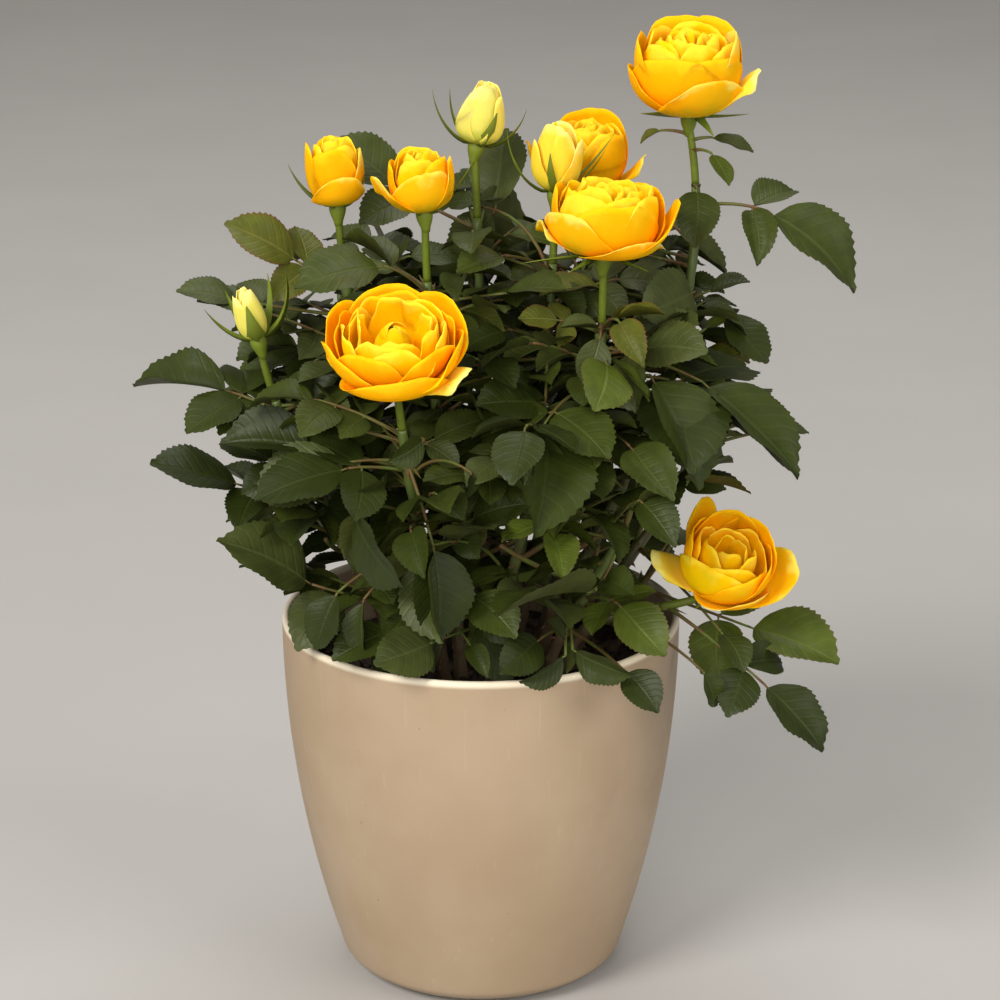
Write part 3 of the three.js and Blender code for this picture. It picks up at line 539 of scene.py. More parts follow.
def tube(middles, radii, sides, relief=None):
    """Points and faces of a closed tube along a row of points."""
    middles = np.asarray(middles, dtype=float)
    radii = np.broadcast_to(radii, len(middles))
    lies = np.gradient(middles, axis=0)
    lies /= np.linalg.norm(lies, axis=1)[:, None]
    across = np.array([1.0, 0, 0]) if abs(lies[0][0]) < 0.8 else np.array([0, 1.0, 0])
    turns = np.linspace(0, 2 * math.pi, sides, endpoint=False)
    rings = []
    for middle, radius, along in zip(middles, radii, lies):
        across = unit(across - along * across.dot(along))
        over = np.cross(along, across)
        around = np.cos(turns)[:, None] * across + np.sin(turns)[:, None] * over
        ring = middle + around * radius
        if relief is not None:
            ring = ring + around * (relief(ring, turns) * radius)[:, None]
        rings.append(ring)
    points = np.concatenate(rings + [middles[:1], middles[-1:]])
    ring = np.arange(sides)
    after = (ring + 1) % sides
    last = (len(middles) - 1) * sides
    foot = np.stack([after, ring, np.full(sides, len(points) - 2)], 1)
    head = np.stack([last + ring, last + after, np.full(sides, len(points) - 1)], 1)
    return points, ring_faces(len(middles), sides), np.concatenate([foot, head])


def joined(parts):
    """Several sets of points and faces as one."""
    points, quads, tris, uvs, count = [], [], [], [], 0
    for part in parts:
        points.append(part[0])
        quads.append(np.asarray(part[1]).reshape(-1, 4) + count)
        tris.append(np.asarray(part[2]).reshape(-1, 3) + count)
        uvs.append(part[3] if len(part) > 3 else np.zeros((len(part[0]), 2)))
        count += len(part[0])
    return np.concatenate(points), np.concatenate(quads), np.concatenate(tris), np.concatenate(uvs)


def add_joined(name, parts, finish, stands_for=(), laid=False):
    """One piece from several sets of points and faces. A laid piece keeps how its parts lie."""
    points, quads, tris, uvs = joined(parts)
    blocks = [rows for rows in (quads, tris) if len(rows)]
    add_piece(name, points, blocks, [finish], stands_for, uvs if laid else None)


def stem_radius(t):
    return CANE_FOOT_RADIUS + (CANE_TIP_RADIUS - CANE_FOOT_RADIUS) * t


for number, shoot in enumerate(SHOOTS):
    shoot["number"] = number
    shoot["curve"] = bend((*shoot["foot"], COMPOST_TOP + GAP), shoot["knee"], shoot["shoulder"], shoot["tip"])
    shoot["length"] = way_along(shoot["curve"])
    shoot["foliage_from"] = FOLIAGE_FOOT_HEIGHT / shoot["length"]
    shoot["foliage_to"] = 1 - FLOWER_STALK / shoot["length"] if "flower" in shoot else 1.0

# Lengthwise ribs in the bark, shared by canes and stems: a colour share and a height
bark_ribs, given, wanted = new_effect(
    "bark_ribs",
    {"Fresh": (COLOUR, WHITE), "Aged": (COLOUR, BLACK), "Age": (NUMBER, 0.5), "Rib": (NUMBER, 1.0)},
    {"Colour": COLOUR, "Height": NUMBER},
)
seat = seat_in(bark_ribs)
lengthwise = place(bark_ribs, "ShaderNodeMapping", {"Vector": seat, "Scale": RIB_STRETCH})
ribs = noise(bark_ribs, lengthwise.outputs[0], given["Rib"], 3.0)
blotches = noise(bark_ribs, seat, 85.0, 4.0)
worn = sums(bark_ribs, "ADD", times(bark_ribs, blotches, 0.7), times(bark_ribs, ribs, 0.5))
worn = sums(bark_ribs, "ADD", worn, sums(bark_ribs, "SUBTRACT", given["Age"], 0.5))
aged = stepped(bark_ribs, worn, 0.42, 0.80)
bark_ribs.links.new(mixed(bark_ribs, aged, given["Fresh"], given["Aged"]), wanted["Colour"])
bark_ribs.links.new(ribs, wanted["Height"])

cane_bark, tree, shader = new_finish("cane_bark")
ribbed = use_effect(tree, bark_ribs, Fresh=BARK_OLIVE, Aged=BARK_BROWN, Age=0.62, Rib=1.0)
coloured(tree, shader, ribbed["Colour"], 0.7)
in_relief(tree, shader, ribbed["Height"], 0.7, 0.0006)

thorn_finish = two_tone("thorn", (THORN_RED, BARK_OLIVE), 400.0, 2500.0, 0.45)

rng = np.random.default_rng(61)
canes = []
for shoot in SHOOTS:
    start = shoot["curve"](0.0)
    shares = np.linspace(0, shoot["foliage_from"], 30)
    middles = shoot["curve"](shares)
    middles = np.concatenate([[start - [0, 0, CANE_BURIED]], middles])
    radii = stem_radius(np.concatenate([[0], shares]))
    radii = radii * (1 + CANE_SWELLING * np.exp(-((middles[:, 2] - COMPOST_TOP) / 4) ** 2))
    for knuckle in rng.uniform(0.3, 0.95, 2):
        radii = radii * (1 + KNUCKLE_SWELLING * np.exp(-((np.arange(31) / 30 - knuckle) / 0.04) ** 2))
    phase = rng.uniform(0, 2 * math.pi, 3)

    def ribbing(ring, turns, phase=phase, wave=ripples(rng, 9, 2.4, 9)):
        return 0.035 * np.sin(5 * turns + phase[0]) + 0.025 * np.sin(8 * turns + phase[1]) + 0.09 * wave(ring)

    canes.append(tube(middles, radii, CANE_SIDES, ribbing))
add_joined("canes", canes, cane_bark, [f"cane_{shoot['name']}" for shoot in SHOOTS])

# Prickles: short hooks with an oval foot, pointing a little downward
THORNS_TO_A_CANE = 9
THORN_SIZES = (1.6, 3.0)
THORN_SIDES = 7
THORN_STEPS = [0, 0.25, 0.55, 0.8]
THORN_FOOT_LENGTH = 0.42
THORN_FOOT_WIDTH = 0.2
THORN_DROOP = 0.35
thorns = []
turns = np.linspace(0, 2 * math.pi, THORN_SIDES, endpoint=False)
rng = np.random.default_rng(62)
for shoot in SHOOTS:
    for _ in range(THORNS_TO_A_CANE):
        t = rng.uniform(0.03, 0.62)
        along = lie(shoot["curve"], t)
        spin = rng.uniform(0, 2 * math.pi)
        level = np.array([math.cos(spin), math.sin(spin), 0])
        outward = unit(level - along * along.dot(level))
        across = np.cross(along, outward)
        root = shoot["curve"](t) + outward * stem_radius(t) * 0.8
        size = rng.uniform(*THORN_SIZES)
        rings = []
        for share in THORN_STEPS:
            shrink = (1 - share) ** 1.25
            middle = root + outward * size * share - along * size * THORN_DROOP * share**2
            rings.append(middle + along * (np.cos(turns) * size * THORN_FOOT_LENGTH * shrink)[:, None]
                         + across * (np.sin(turns) * size * THORN_FOOT_WIDTH * shrink)[:, None])
        point = root + outward * size - along * size * 0.38
        top = (len(THORN_STEPS) - 1) * THORN_SIDES
        ring = top + np.arange(THORN_SIDES)
        after = top + (np.arange(THORN_SIDES) + 1) % THORN_SIDES
        tris = np.stack([ring, after, np.full(THORN_SIDES, top + THORN_SIDES)], 1)
        thorns.append((np.concatenate(rings + [[point]]), ring_faces(len(THORN_STEPS), THORN_SIDES), tris))
add_joined("thorns", thorns, thorn_finish)

# Where the leaves grow
# A rose leaf is compound: a stalk with one or two pairs of leaflets and one at its end. Leaves climb each
# stem in a spiral, and the rule below sets every one where it touches no stem, flower or rim. Most also keep
# clear of the leaves set before them, but the finer ones may press in between them, and the leaves listed
# toward the viewer are not tested against other leaves.

LEAF_STALK_RADIUS = 1.15
LEAFLET_WIDTH = 0.66
PAIRS = [(0.78, 66, 0.84, 12), (0.46, 72, 0.64, 14)]
LEAF_REACH = 50.0
LEAF_BLADE = 40.0
LEAF_SPACING = 20.0
LEAF_TURN = 144
LEAF_TRIES = 14
TWIG_LENGTH = 40.0
TWIG_RADIUS = 1.3
TWIG_BOW = 20
LEAF_CLEARANCE = 0.25
BLADE_BOX_WIDTH = 0.46
BLADE_BOX_DEPTH = 0.045
BLADE_BOX_LIFT = 0.035
SEED = 4127
RIM_BOXES = 36
STEM_BOXES = 14
CROWN_CENTRE = np.array([4.0, 2.0, 226.0])
CROWN_RADII = np.array([114.0, 112.0, 118.0])
# Flushes of leaves: where each starts on the stem, its size, its leaflets, and the fewest that may be left.
# The last ones are the finer growth that fills the crown within the same reach.
FLUSHES = [(0.1, 1.0, 5, 3), (0.6, 0.92, 5, 3), (0.3, 0.85, 3, 3)]
FINER_FLUSHES = [(0.85, 0.95, 5, 2), (0.45, 0.9, 5, 2), (0.2, 0.85, 3, 2), (0.7, 0.8, 3, 2)]
FINER_PRESS = 0.5
LOW_LEAVES = 5
LOW_LEAF_TURN = 137
TWIG_LEAF_TURN = 65
CROWDING = 0.22
# More leaves on the side towards the viewer and over the rim, fitted to the photo in the same way. The
# values come in the order of the shoots' own leaves.
FRONT_LEAVES = {
    "front_left": [(226, 208, 20, -14, 26, 39, 3, 24, 0.8), (166, 255, 37, -25, 19, 26, 3, 34, 0.8),
                   (183, 230, 19, -84, 40, 23, 3, -5, 0.7), (196, 340, 24, 24, 22, 27, 3, -43, 0.8),
                   (163, 291, 10, -34, 41, 17, 1, -20), (234, 21, 22, 16, 11, 25, 3, -27, 0.8),
                   (230, 196, 15, -24, 23, 39, 1, 36), (230, 296, -41, -71, 35, 37, 1, 9)],
    "front_middle": [(161, 211, 11, -17, 50, 27, 3, 25, 0.8), (162, 243, 70, -84, 29, 26, 3, -66, 0.8)],
    "left_tall": [(272, 190, 9, 17, 45, 25, 3, 28, 0.9)],
    "right_front": [(272, 203, 26, 6, 19, 17, 3, 37, 0.9), (234, 311, 71, -53, 50, 49, 1, -3),
                    (266, 334, -2, -38, 44, 52, 1, -5)],
    "right_inner": [(274, 267, -32, -30, 61, 54, 3, 36, 0.7)],
    "right_low": [(161, 94, 70, 60, 20, 24, 3, -24, 0.8), (174, 265, -55, 21, 42, 40, 3, -26),
                  (164, 333, -27, -43, 49, 36, 3, -19, 0.8)],
    "right_side": [(174, 303, -12, -36, 60, 20, 1, -3), (173, 316, -19, -25, 60, 42, 1, -23)],
    "front_right": [(169, 276, 10, -47, 33, 16, 1, 15), (204, 289, 70, -29, 23, 25, 3, -19, 0.8),
                    (158, 269, 38, -85, 51, 21, 3, 75, 0.8), (180, 307, 7, -32, 37, 29, 3, -11, 0.8),
                    (158, 273, 40, -85, 46, 25, 1, -75), (170, 339, -7, -72, 57, 17, 1, -23),
                    (158, 245, 18, -17, 24, 26, 1, 41), (164, 293, 60, -85, 55, 28, 3, 75, 0.8)],
    "right_tall": [(335, 309, 20, -43, 11, 16, 1, 3), (341, 179, 23, -32, 12, 10, 1, 16),
                   (338, 223, 28, -36, 5, 20, 3, -10, 0.8), (342, 167, 32, -85, 9, 15, 1, 47),
                   (256, 20, 31, 24, 15, 10, 1, -12), (269, 285, 70, -35, 23, 38, 1, 75),
                   (339, 346, 21, -16, 8, 18, 1, -9)],
    "rear_right": [(267, 318, 11, -40, 52, 28, 3, -10, 0.7)],
}


def heading(bearing, pitch):
    """Direction at a bearing and a pitch above the level, both in degrees."""
    b, p = math.radians(bearing), math.radians(pitch)
    return np.array([math.cos(b) * math.cos(p), math.sin(b) * math.cos(p), math.sin(p)])


def random_from(seed):
    """Repeatable random numbers from 0 to 1."""
    state = seed & 0xFFFFFFFF

    def draw():
        nonlocal state
        state = (state + 0x6D2B79F5) & 0xFFFFFFFF
        mix = ((state ^ (state >> 15)) * (state | 1)) & 0xFFFFFFFF
        mix ^= (mix + ((mix ^ (mix >> 7)) * (mix | 61) & 0xFFFFFFFF)) & 0xFFFFFFFF
        return ((mix ^ (mix >> 14)) & 0xFFFFFFFF) / 4294967296

    return draw


# Boxes that stand already: middles, axes, half sizes, spans, the stem each belongs to, and whether it is a
# leaf's
ROOM = 16000
stood = dict(middle=np.zeros((ROOM, 3)), axes=np.zeros((ROOM, 3, 3)), half=np.zeros((ROOM, 3)),
             span=np.zeros(ROOM), stem=np.full(ROOM, -1), leafy=np.zeros(ROOM, dtype=bool), count=0)


def box_at(middle, axes, half):
    half = np.array(half, dtype=float)
    return np.asarray(middle, dtype=float), np.asarray(axes, dtype=float), half, float(np.linalg.norm(half))


def box_along(start, end, radius):
    along = end - start
    length = float(np.linalg.norm(along))
    along = along / length
    across = np.array([1.0, 0, 0]) if abs(along[2]) > 0.8 else np.array([0, 0, 1.0])
    across = unit(across - along * across.dot(along))
    return box_at((start + end) / 2, [along, across, np.cross(along, across)], [length / 2, radius, radius])


def stand(box, stem=-1, leafy=False):
    i = stood["count"]
    stood["middle"][i], stood["axes"][i], stood["half"][i], stood["span"][i] = box
    stood["stem"][i], stood["leafy"][i] = stem, leafy
    stood["count"] = i + 1


def is_free(box, rooted_in=None, press=1.0):
    """Whether a box keeps its clearance from all that stands, by the separating axis test. A press under 1
    lets it push in between leaves as if both were that much smaller."""
    n = stood["count"]
    middle, axes, half, span = box
    apart = stood["middle"][:n] - middle
    near = np.linalg.norm(apart, axis=1) <= stood["span"][:n] + span + 2 * LEAF_CLEARANCE
    if rooted_in is not None:
        near &= stood["stem"][:n] != rooted_in
    if press == 0:
        near &= ~stood["leafy"][:n]
    near = np.nonzero(near)[0]
    if not len(near):
        return True
    shrink = np.where(stood["leafy"][near], press, 1.0)[:, None]
    apart, others, halves = apart[near], stood["axes"][near], stood["half"][near] * shrink
    half = half * shrink
    crossed = np.cross(axes[None, :, None, :], others[:, None, :, :]).reshape(len(near), 9, 3)
    sizes = (crossed**2).sum(-1)
    real = sizes > 1e-6
    crossed = crossed / np.sqrt(np.where(real, sizes, 1))[..., None]
    tests = np.concatenate([np.broadcast_to(axes, (len(near), 3, 3)), others, crossed], axis=1)
    real = np.concatenate([np.ones((len(near), 6), dtype=bool), real], axis=1)
    reach = 2 * LEAF_CLEARANCE + (np.abs(tests @ axes.T) * half[:, None, :]).sum(-1)
    reach = reach + (np.abs(np.einsum("nkd,nid->nki", tests, others)) * halves[:, None, :]).sum(-1)
    overlap = np.abs(np.einsum("nkd,nd->nk", tests, apart)) < reach
    return not bool((overlap | ~real).all(axis=1).any())


def in_crown(point):
    return float(np.linalg.norm((point - CROWN_CENTRE) / CROWN_RADII)) < 1


def leaf_at(root, bearing, rise, fall, reach, blade, leaflets, roll, side_scale=1.0):
    """One compound leaf from its root on a stem: its stalk's curve and its leaflets' places."""
    middle_pitch = (rise + fall) / 2
    elbow = root + heading(bearing, rise) * reach / 2
    end = elbow + heading(bearing, middle_pitch) * reach / 2
    stalk = bend(root, elbow, end)
    rolled = math.radians(roll)
    spots = [(1.0, 0, 1.0, middle_pitch - fall)]
    for t, turn, size, droop in PAIRS[: (leaflets - 1) // 2]:
        spots += [(t, turn, size * side_scale, droop), (t, -turn, size * side_scale, droop)]
    blades = []
    for t, turn, size, droop in spots:
        along = lie(stalk, t)
        level = unit(np.array([0, 0, 1.0]) - along * along[2])
        left = np.cross(level, along)
        face = level * math.cos(rolled) + left * math.sin(rolled)
        side = np.cross(face, along)
        out, down = math.radians(turn), math.radians(droop)
        outward = along * math.cos(out) + side * math.sin(out)
        axis = outward * math.cos(down) - face * math.sin(down)
        upper = face * math.cos(down) + outward * math.sin(down)
        blades.append(dict(t=t, turn=turn, root=stalk(t), axis=axis, face=upper, side=np.cross(upper, axis),
                           length=blade * size))
    return dict(stalk=stalk, reach=reach, blades=blades)


def blade_box(blade):
    length = blade["length"]
    middle = blade["root"] + blade["axis"] * (length / 2 + 0.5) + blade["face"] * length * BLADE_BOX_LIFT
    return box_at(middle, [blade["axis"], blade["side"], blade["face"]],
                  [length / 2, length * LEAFLET_WIDTH * BLADE_BOX_WIDTH, length * BLADE_BOX_DEPTH + 0.3])


def boxes_on(curve, cuts, radius):
    points = [curve(cut) for cut in cuts]
    return [box_along(a, b, radius) for a, b in zip(points[:-1], points[1:])]


def facing_of(flower):
    """The way that a flower faces, and the level way across it."""
    return heading(flower["toward"], 90 - flower["tilt"]), heading(flower["toward"] + 90, 0)


def flower_box(shoot, spare, share):
    """The space that a flower takes: share is half of it across, as a share of the flower's width."""
    flower = shoot["flower"]
    facing, across = facing_of(flower)
    middle = shoot["curve"](1.0) + facing * (flower["height"] / 2 + spare)
    half = [flower["height"] / 2 + spare, flower["width"] * share, flower["width"] * share]
    return box_at(middle, [facing, across, np.cross(facing, across)], half)


for i in range(RIM_BOXES):
    bearing = 360 / RIM_BOXES * i
    out, across = heading(bearing, 0), heading(bearing + 90, 0)
    middle = out * (POT_RIM_RADIUS - 2.6) + [0, 0, POT_HEIGHT - 24]
    stand(box_at(middle, [out, across, (0, 0, 1)], [3, POT_RIM_RADIUS * math.tan(math.pi / RIM_BOXES), 24.5]))
stand(box_at((0, 0, COMPOST_TOP - 20), np.eye(3), [POT_RIM_RADIUS, POT_RIM_RADIUS, 20.5]))
for shoot in SHOOTS:
    for i in range(STEM_BOXES):
        start, end = i / STEM_BOXES, (i + 1) / STEM_BOXES
        stand(box_along(shoot["curve"](start), shoot["curve"](end), stem_radius(start)), shoot["number"])
    if "flower" in shoot:
        stand(flower_box(shoot, 3, 0.46))

leaves = []


def try_leaf(leaf, least, rooted_in, press=1.0):
    """Keeps a leaf where its stalk and enough of its leaflets stand free."""
    stalks = boxes_on(leaf["stalk"], [0, 0.35, 0.7, 1], LEAF_STALK_RADIUS)
    if not all(is_free(box, rooted_in, press) for box in stalks):
        return False
    kept = []
    for blade in leaf["blades"]:
        tip = blade["root"] + blade["axis"] * blade["length"]
        if (not least or in_crown(tip)) and is_free(blade_box(blade), None, press):
            kept.append(blade)
    if not kept or kept[0]["t"] < 1 or len(kept) < least:
        return False
    for box in stalks + [blade_box(blade) for blade in kept]:
        stand(box, leafy=True)
    leaves.append(dict(stalk=leaf["stalk"], reach=leaf["reach"], blades=kept))
    return True


def share_at_height(curve, height):
    low, high = 0.0, 1.0
    for _ in range(30):
        middle = (low + high) / 2
        if curve(middle)[2] < height:
            low = middle
        else:
            high = middle
    return low


def set_leaves(shoot, rows, press=1.0):
    """Sets listed leaves on a shoot."""
    for height, *shape in rows:
        t = share_at_height(shoot["curve"], height)
        if try_leaf(leaf_at(shoot["curve"](t), *shape), 0, shoot["number"], press):
            shoot["nodes"].append(t)


def leafy_part(shoot):
    """A shoot's curve, and the shares of its way between which leaves grow."""
    return shoot["curve"], shoot["foliage_from"], shoot["foliage_to"]


for shoot in SHOOTS:
    shoot["nodes"] = []
    set_leaves(shoot, shoot["leaves"])

# Side twigs: two from each stem without a flower and one from the others, each with a leaf halfway and one
# at its end
twigs = []
for number, shoot in enumerate(SHOOTS):
    curve, start, end = leafy_part(shoot)
    for k in range(1 if "flower" in shoot else 2):
        for attempt in range(LEAF_TRIES):
            random = random_from(SEED * 3 + number * 1013 + k * 103 + attempt * 17)
            t = start + (end - start) * (0.12 + 0.3 * k + 0.2 * random())
            bearing = shoot["turn"] + 70 + 180 * k + (random() - 0.5) * (50 + 20 * attempt)
            rise = 10 + 30 * random()
            root, reach = curve(t), TWIG_LENGTH * (0.8 + 0.3 * random())
            elbow = root + heading(bearing, rise) * reach / 2
            twig = bend(root, elbow, elbow + heading(bearing, rise + TWIG_BOW) * reach / 2)
            pieces = boxes_on(twig, [0, 0.33, 0.66, 1], TWIG_RADIUS)
            if not in_crown(twig(1.0)) or not all(is_free(piece, number) for piece in pieces):
                continue
            own = 100 + len(twigs)
            for piece in pieces:
                stand(piece, own)
            twigs.append(twig)
            shoot["nodes"].append(t)
            for which, share in enumerate([0.5, 1.0]):
                for go in range(LEAF_TRIES):
                    size = 0.72 + 0.16 * random()
                    side = bearing + (0 if which else TWIG_LEAF_TURN) + (random() - 0.5) * (30 + 14 * go)
                    leaf_rise = 5 + 30 * random()
                    leaf_fall = -40 * random()
                    roll = (random() - 0.5) * 50
                    leaf = leaf_at(twig(share), side, leaf_rise, leaf_fall, LEAF_REACH * size * 0.8,
                                   LEAF_BLADE * size, 5, roll)
                    if try_leaf(leaf, 2, own):
                        break
            break


def grow_flush(flush, shift, scale, leaflets, least, press=1.0):
    """One flush of leaves up every stem, in a spiral. Each further try strays more and is smaller."""
    for number, shoot in enumerate(SHOOTS):
        curve, start, end = leafy_part(shoot)
        count = math.floor((end - start) * shoot["length"] / LEAF_SPACING)
        for k in range(count):
            t = start + (end - start) * (k + shift) / count
            for attempt in range(LEAF_TRIES):
                random = random_from(SEED + flush * 70001 + number * 1009 + k * 101 + attempt * 13)
                bearing = shoot["turn"] + LEAF_TURN * k + 90 * flush + (random() - 0.5) * (24 + 20 * attempt)
                rise = 5 + 50 * random()
                fall = 15 - 55 * random()
                size = scale * (1 - CROWDING * t) * (0.86 + 0.24 * random()) * (1 - 0.02 * attempt)
                roll = (random() - 0.5) * 70
                shape = (bearing, rise, fall, LEAF_REACH * size, LEAF_BLADE * size, leaflets, roll)
                if try_leaf(leaf_at(curve(t), *shape), least, number, press):
                    shoot["nodes"].append(t)
                    break


for flush, shape in enumerate(FLUSHES):
    grow_flush(flush, *shape)
for shoot in SHOOTS:
    set_leaves(shoot, FRONT_LEAVES.get(shoot["name"], []), 0.0)

for shoot in SHOOTS:
    if "flower" in shoot:
        stand(flower_box(shoot, 8, 0.6))

# Low leaves that arch over the compost and down to the rim
for number, shoot in enumerate(SHOOTS):
    curve, start, end = leafy_part(shoot)
    for k in range(LOW_LEAVES):
        for attempt in range(LEAF_TRIES):
            random = random_from(SEED * 7 + number * 2003 + k * 107 + attempt * 19)
            t = start + (0.03 + 0.2 * random()) * (end - start)
            bearing = shoot["turn"] + LOW_LEAF_TURN * k + (random() - 0.5) * (40 + 20 * attempt)
            rise = 25 - 40 * random()
            fall = -15 - 55 * random()
            size = 0.72 + 0.26 * random()
            roll = (random() - 0.5) * 60
            leaf = leaf_at(curve(t), bearing, rise, fall, LEAF_REACH * size, LEAF_BLADE * size, 3, roll)
            if try_leaf(leaf, 2, number, FINER_PRESS):
                shoot["nodes"].append(t)
                break

for flush, shape in enumerate(FINER_FLUSHES):
    grow_flush(len(FLUSHES) + flush, *shape, FINER_PRESS)

# Green stems, twigs and leaf stalks
# The young growth above each cane: smooth green stems that thin upward and swell at every leaf, bowed side
# twigs, and leaf stalks with a pair of small wings at the foot.

STEM_SIDES = 12
STEM_SWELLING = 0.16
STEM_SWELLING_LENGTH = 2.2
TWIG_SIDES = 10
TWIG_THINNING = 0.3
STALK_SIDES = 6
STALK_RADII = (0.85, 0.5)
PETIOLULE = 0.06
WING_ROWS = 6
WING_WIDTH = 1.1
WING_CURL = 0.1
WING_LONGEST = 8
WING_SHARE = 0.3
WING_SPREAD = 0.28
WING_OFF_MIDDLE = 0.6
STEM_GREEN = (0.085, 0.120, 0.022, 1)
STEM_DUN = (0.070, 0.054, 0.018, 1)
STALK_GREEN = (0.085, 0.122, 0.022, 1)
STALK_RED = (0.115, 0.062, 0.024, 1)
FLOWER_STALK_GREEN = (0.120, 0.165, 0.014, 1)
FLOWER_STALK_SHADE = (0.090, 0.115, 0.012, 1)

rng = np.random.default_rng(71)
stem_parts = []
for shoot in SHOOTS:
    last = shoot["foliage_to"] if "flower" in shoot else 0.985
    shares = np.linspace(shoot["foliage_from"], last, 56)
    radii = stem_radius(shares) * 0.96
    for node in shoot["nodes"]:
        away = (shares - node) * shoot["length"] / STEM_SWELLING_LENGTH
        radii = radii * (1 + STEM_SWELLING * np.exp(-away ** 2))
    if "flower" not in shoot:
        radii = radii * np.where(shares > 0.94, 0.8, 1)
    part = tube(shoot["curve"](shares), radii, STEM_SIDES)
    along = np.concatenate([np.repeat(shares, STEM_SIDES), shares[:1], shares[-1:]])
    stem_parts.append((*part, np.stack([np.zeros_like(along), along], 1)))
twig_parts = []
for twig in twigs:
    shares = np.linspace(0, 1, 16)
    twig_parts.append(tube(twig(shares), TWIG_RADIUS * (1 - TWIG_THINNING * shares), TWIG_SIDES))


def lying_on(tree):
    """How far across (X) and along (Y) its own stem, leaflet or petal a point lies."""
    lie_of_piece = place(tree, "ShaderNodeUVMap", uv_map="lie_of_piece")
    return place(tree, "ShaderNodeSeparateXYZ", {0: lie_of_piece.outputs[0]}).outputs


stem_skin, tree, shader = new_finish("stem_skin")
age = stepped(tree, lying_on(tree)["Y"], 0.1, 0.95, 0.62, 0.22)
ribbed = use_effect(tree, bark_ribs, Fresh=STEM_GREEN, Aged=STEM_DUN, Age=age, Rib=0.8)
coloured(tree, shader, ribbed["Colour"], 0.46)
in_relief(tree, shader, ribbed["Height"], 0.35, 0.0003)


def plain_skin(name, first, second, roughness):
    """A finish for small green parts: two close tones and a faint grain."""
    return two_tone(name, (first, second), 120.0, 1600.0, roughness, (0.15, 0.0003), 0.2)


stalk_skin = plain_skin("stalk_skin", STALK_GREEN, STALK_RED, 0.5)
flower_stalk_skin = plain_skin("flower_stalk_skin", FLOWER_STALK_GREEN, FLOWER_STALK_SHADE, 0.42)

leaf_nodes = [f"leaves_{shoot['name']}" for shoot in SHOOTS]
add_joined("green_stems", stem_parts, stem_skin, leaf_nodes, True)
add_joined("side_twigs", twig_parts, stalk_skin, leaf_nodes)


def grid_faces(rows, columns):
    """Faces between the points of a grid, row by row."""
    i, j = np.meshgrid(np.arange(rows - 1), np.arange(columns - 1), indexing="ij")
    a = (i * columns + j).ravel()
    return np.stack([a, a + 1, a + columns + 1, a + columns], 1)


def folded_strip(middle, side, wide, lift):
    """A narrow blade, folded along its middle: three points in each row."""
    points = np.stack([middle - side * wide[:, None] + lift, middle, middle + side * wide[:, None] + lift], 1)
    return points.reshape(-1, 3), grid_faces(len(middle), 3), np.zeros((0, 3), dtype=int)


def wing(root, axis, side, face, length):
    """One of the two narrow pointed wings at the foot of a leaf stalk."""
    shares = np.linspace(0, 1, WING_ROWS)
    wide = WING_WIDTH * (1 - shares) ** 0.7 * np.clip(0.45 + 2.6 * shares, 0, 1)
    middle = root + axis * (shares * length)[:, None] + face * (WING_CURL * length * shares**2)[:, None]
    return folded_strip(middle, side, wide, face * (wide * 0.35)[:, None])


stalk_parts, wing_parts = [], []
for leaf in leaves:
    shares = np.linspace(0, 1, 9)
    radii = np.linspace(*STALK_RADII, 9)
    radii[0] *= 1.5
    stalk_parts.append(tube(leaf["stalk"](shares), radii, STALK_SIDES))
    for blade in leaf["blades"]:
        foot = blade["root"]
        head = foot + blade["axis"] * blade["length"] * (PETIOLULE + 0.02)
        stalk_parts.append(tube([foot, (foot + head) / 2, head], [0.5, 0.45, 0.35], 5))
    along = lie(leaf["stalk"], 0.0)
    level = unit(np.array([0, 0, 1.0]) - along * along[2])
    side = np.cross(level, along)
    for way in (1, -1):
        root = leaf["stalk"](0.02) + side * way * WING_OFF_MIDDLE
        axis = unit(along + side * way * WING_SPREAD)
        wing_length = min(WING_LONGEST, leaf["reach"] * WING_SHARE)
        wing_parts.append(wing(root, axis, unit(np.cross(level, axis)), level, wing_length))
add_joined("leaf_stalks", stalk_parts, stalk_skin, leaf_nodes)

# Leaflets
# Oval and pointed, folded a little along the midrib, with fine teeth that point to the tip. The upper side
# is dull dark green, the young ones are lighter and edged with red, and the underside is paler olive.

TEETH = 14
LEAF_THICK = 0.3
LEAF_COLUMNS = np.array([-1, -0.52, 0, 0.52, 1])
UNDER_COLUMNS = np.array([-1.0, 0, 1.0])
UNDER_DROPS = np.array([[0.4, 1.0, 0.4]])
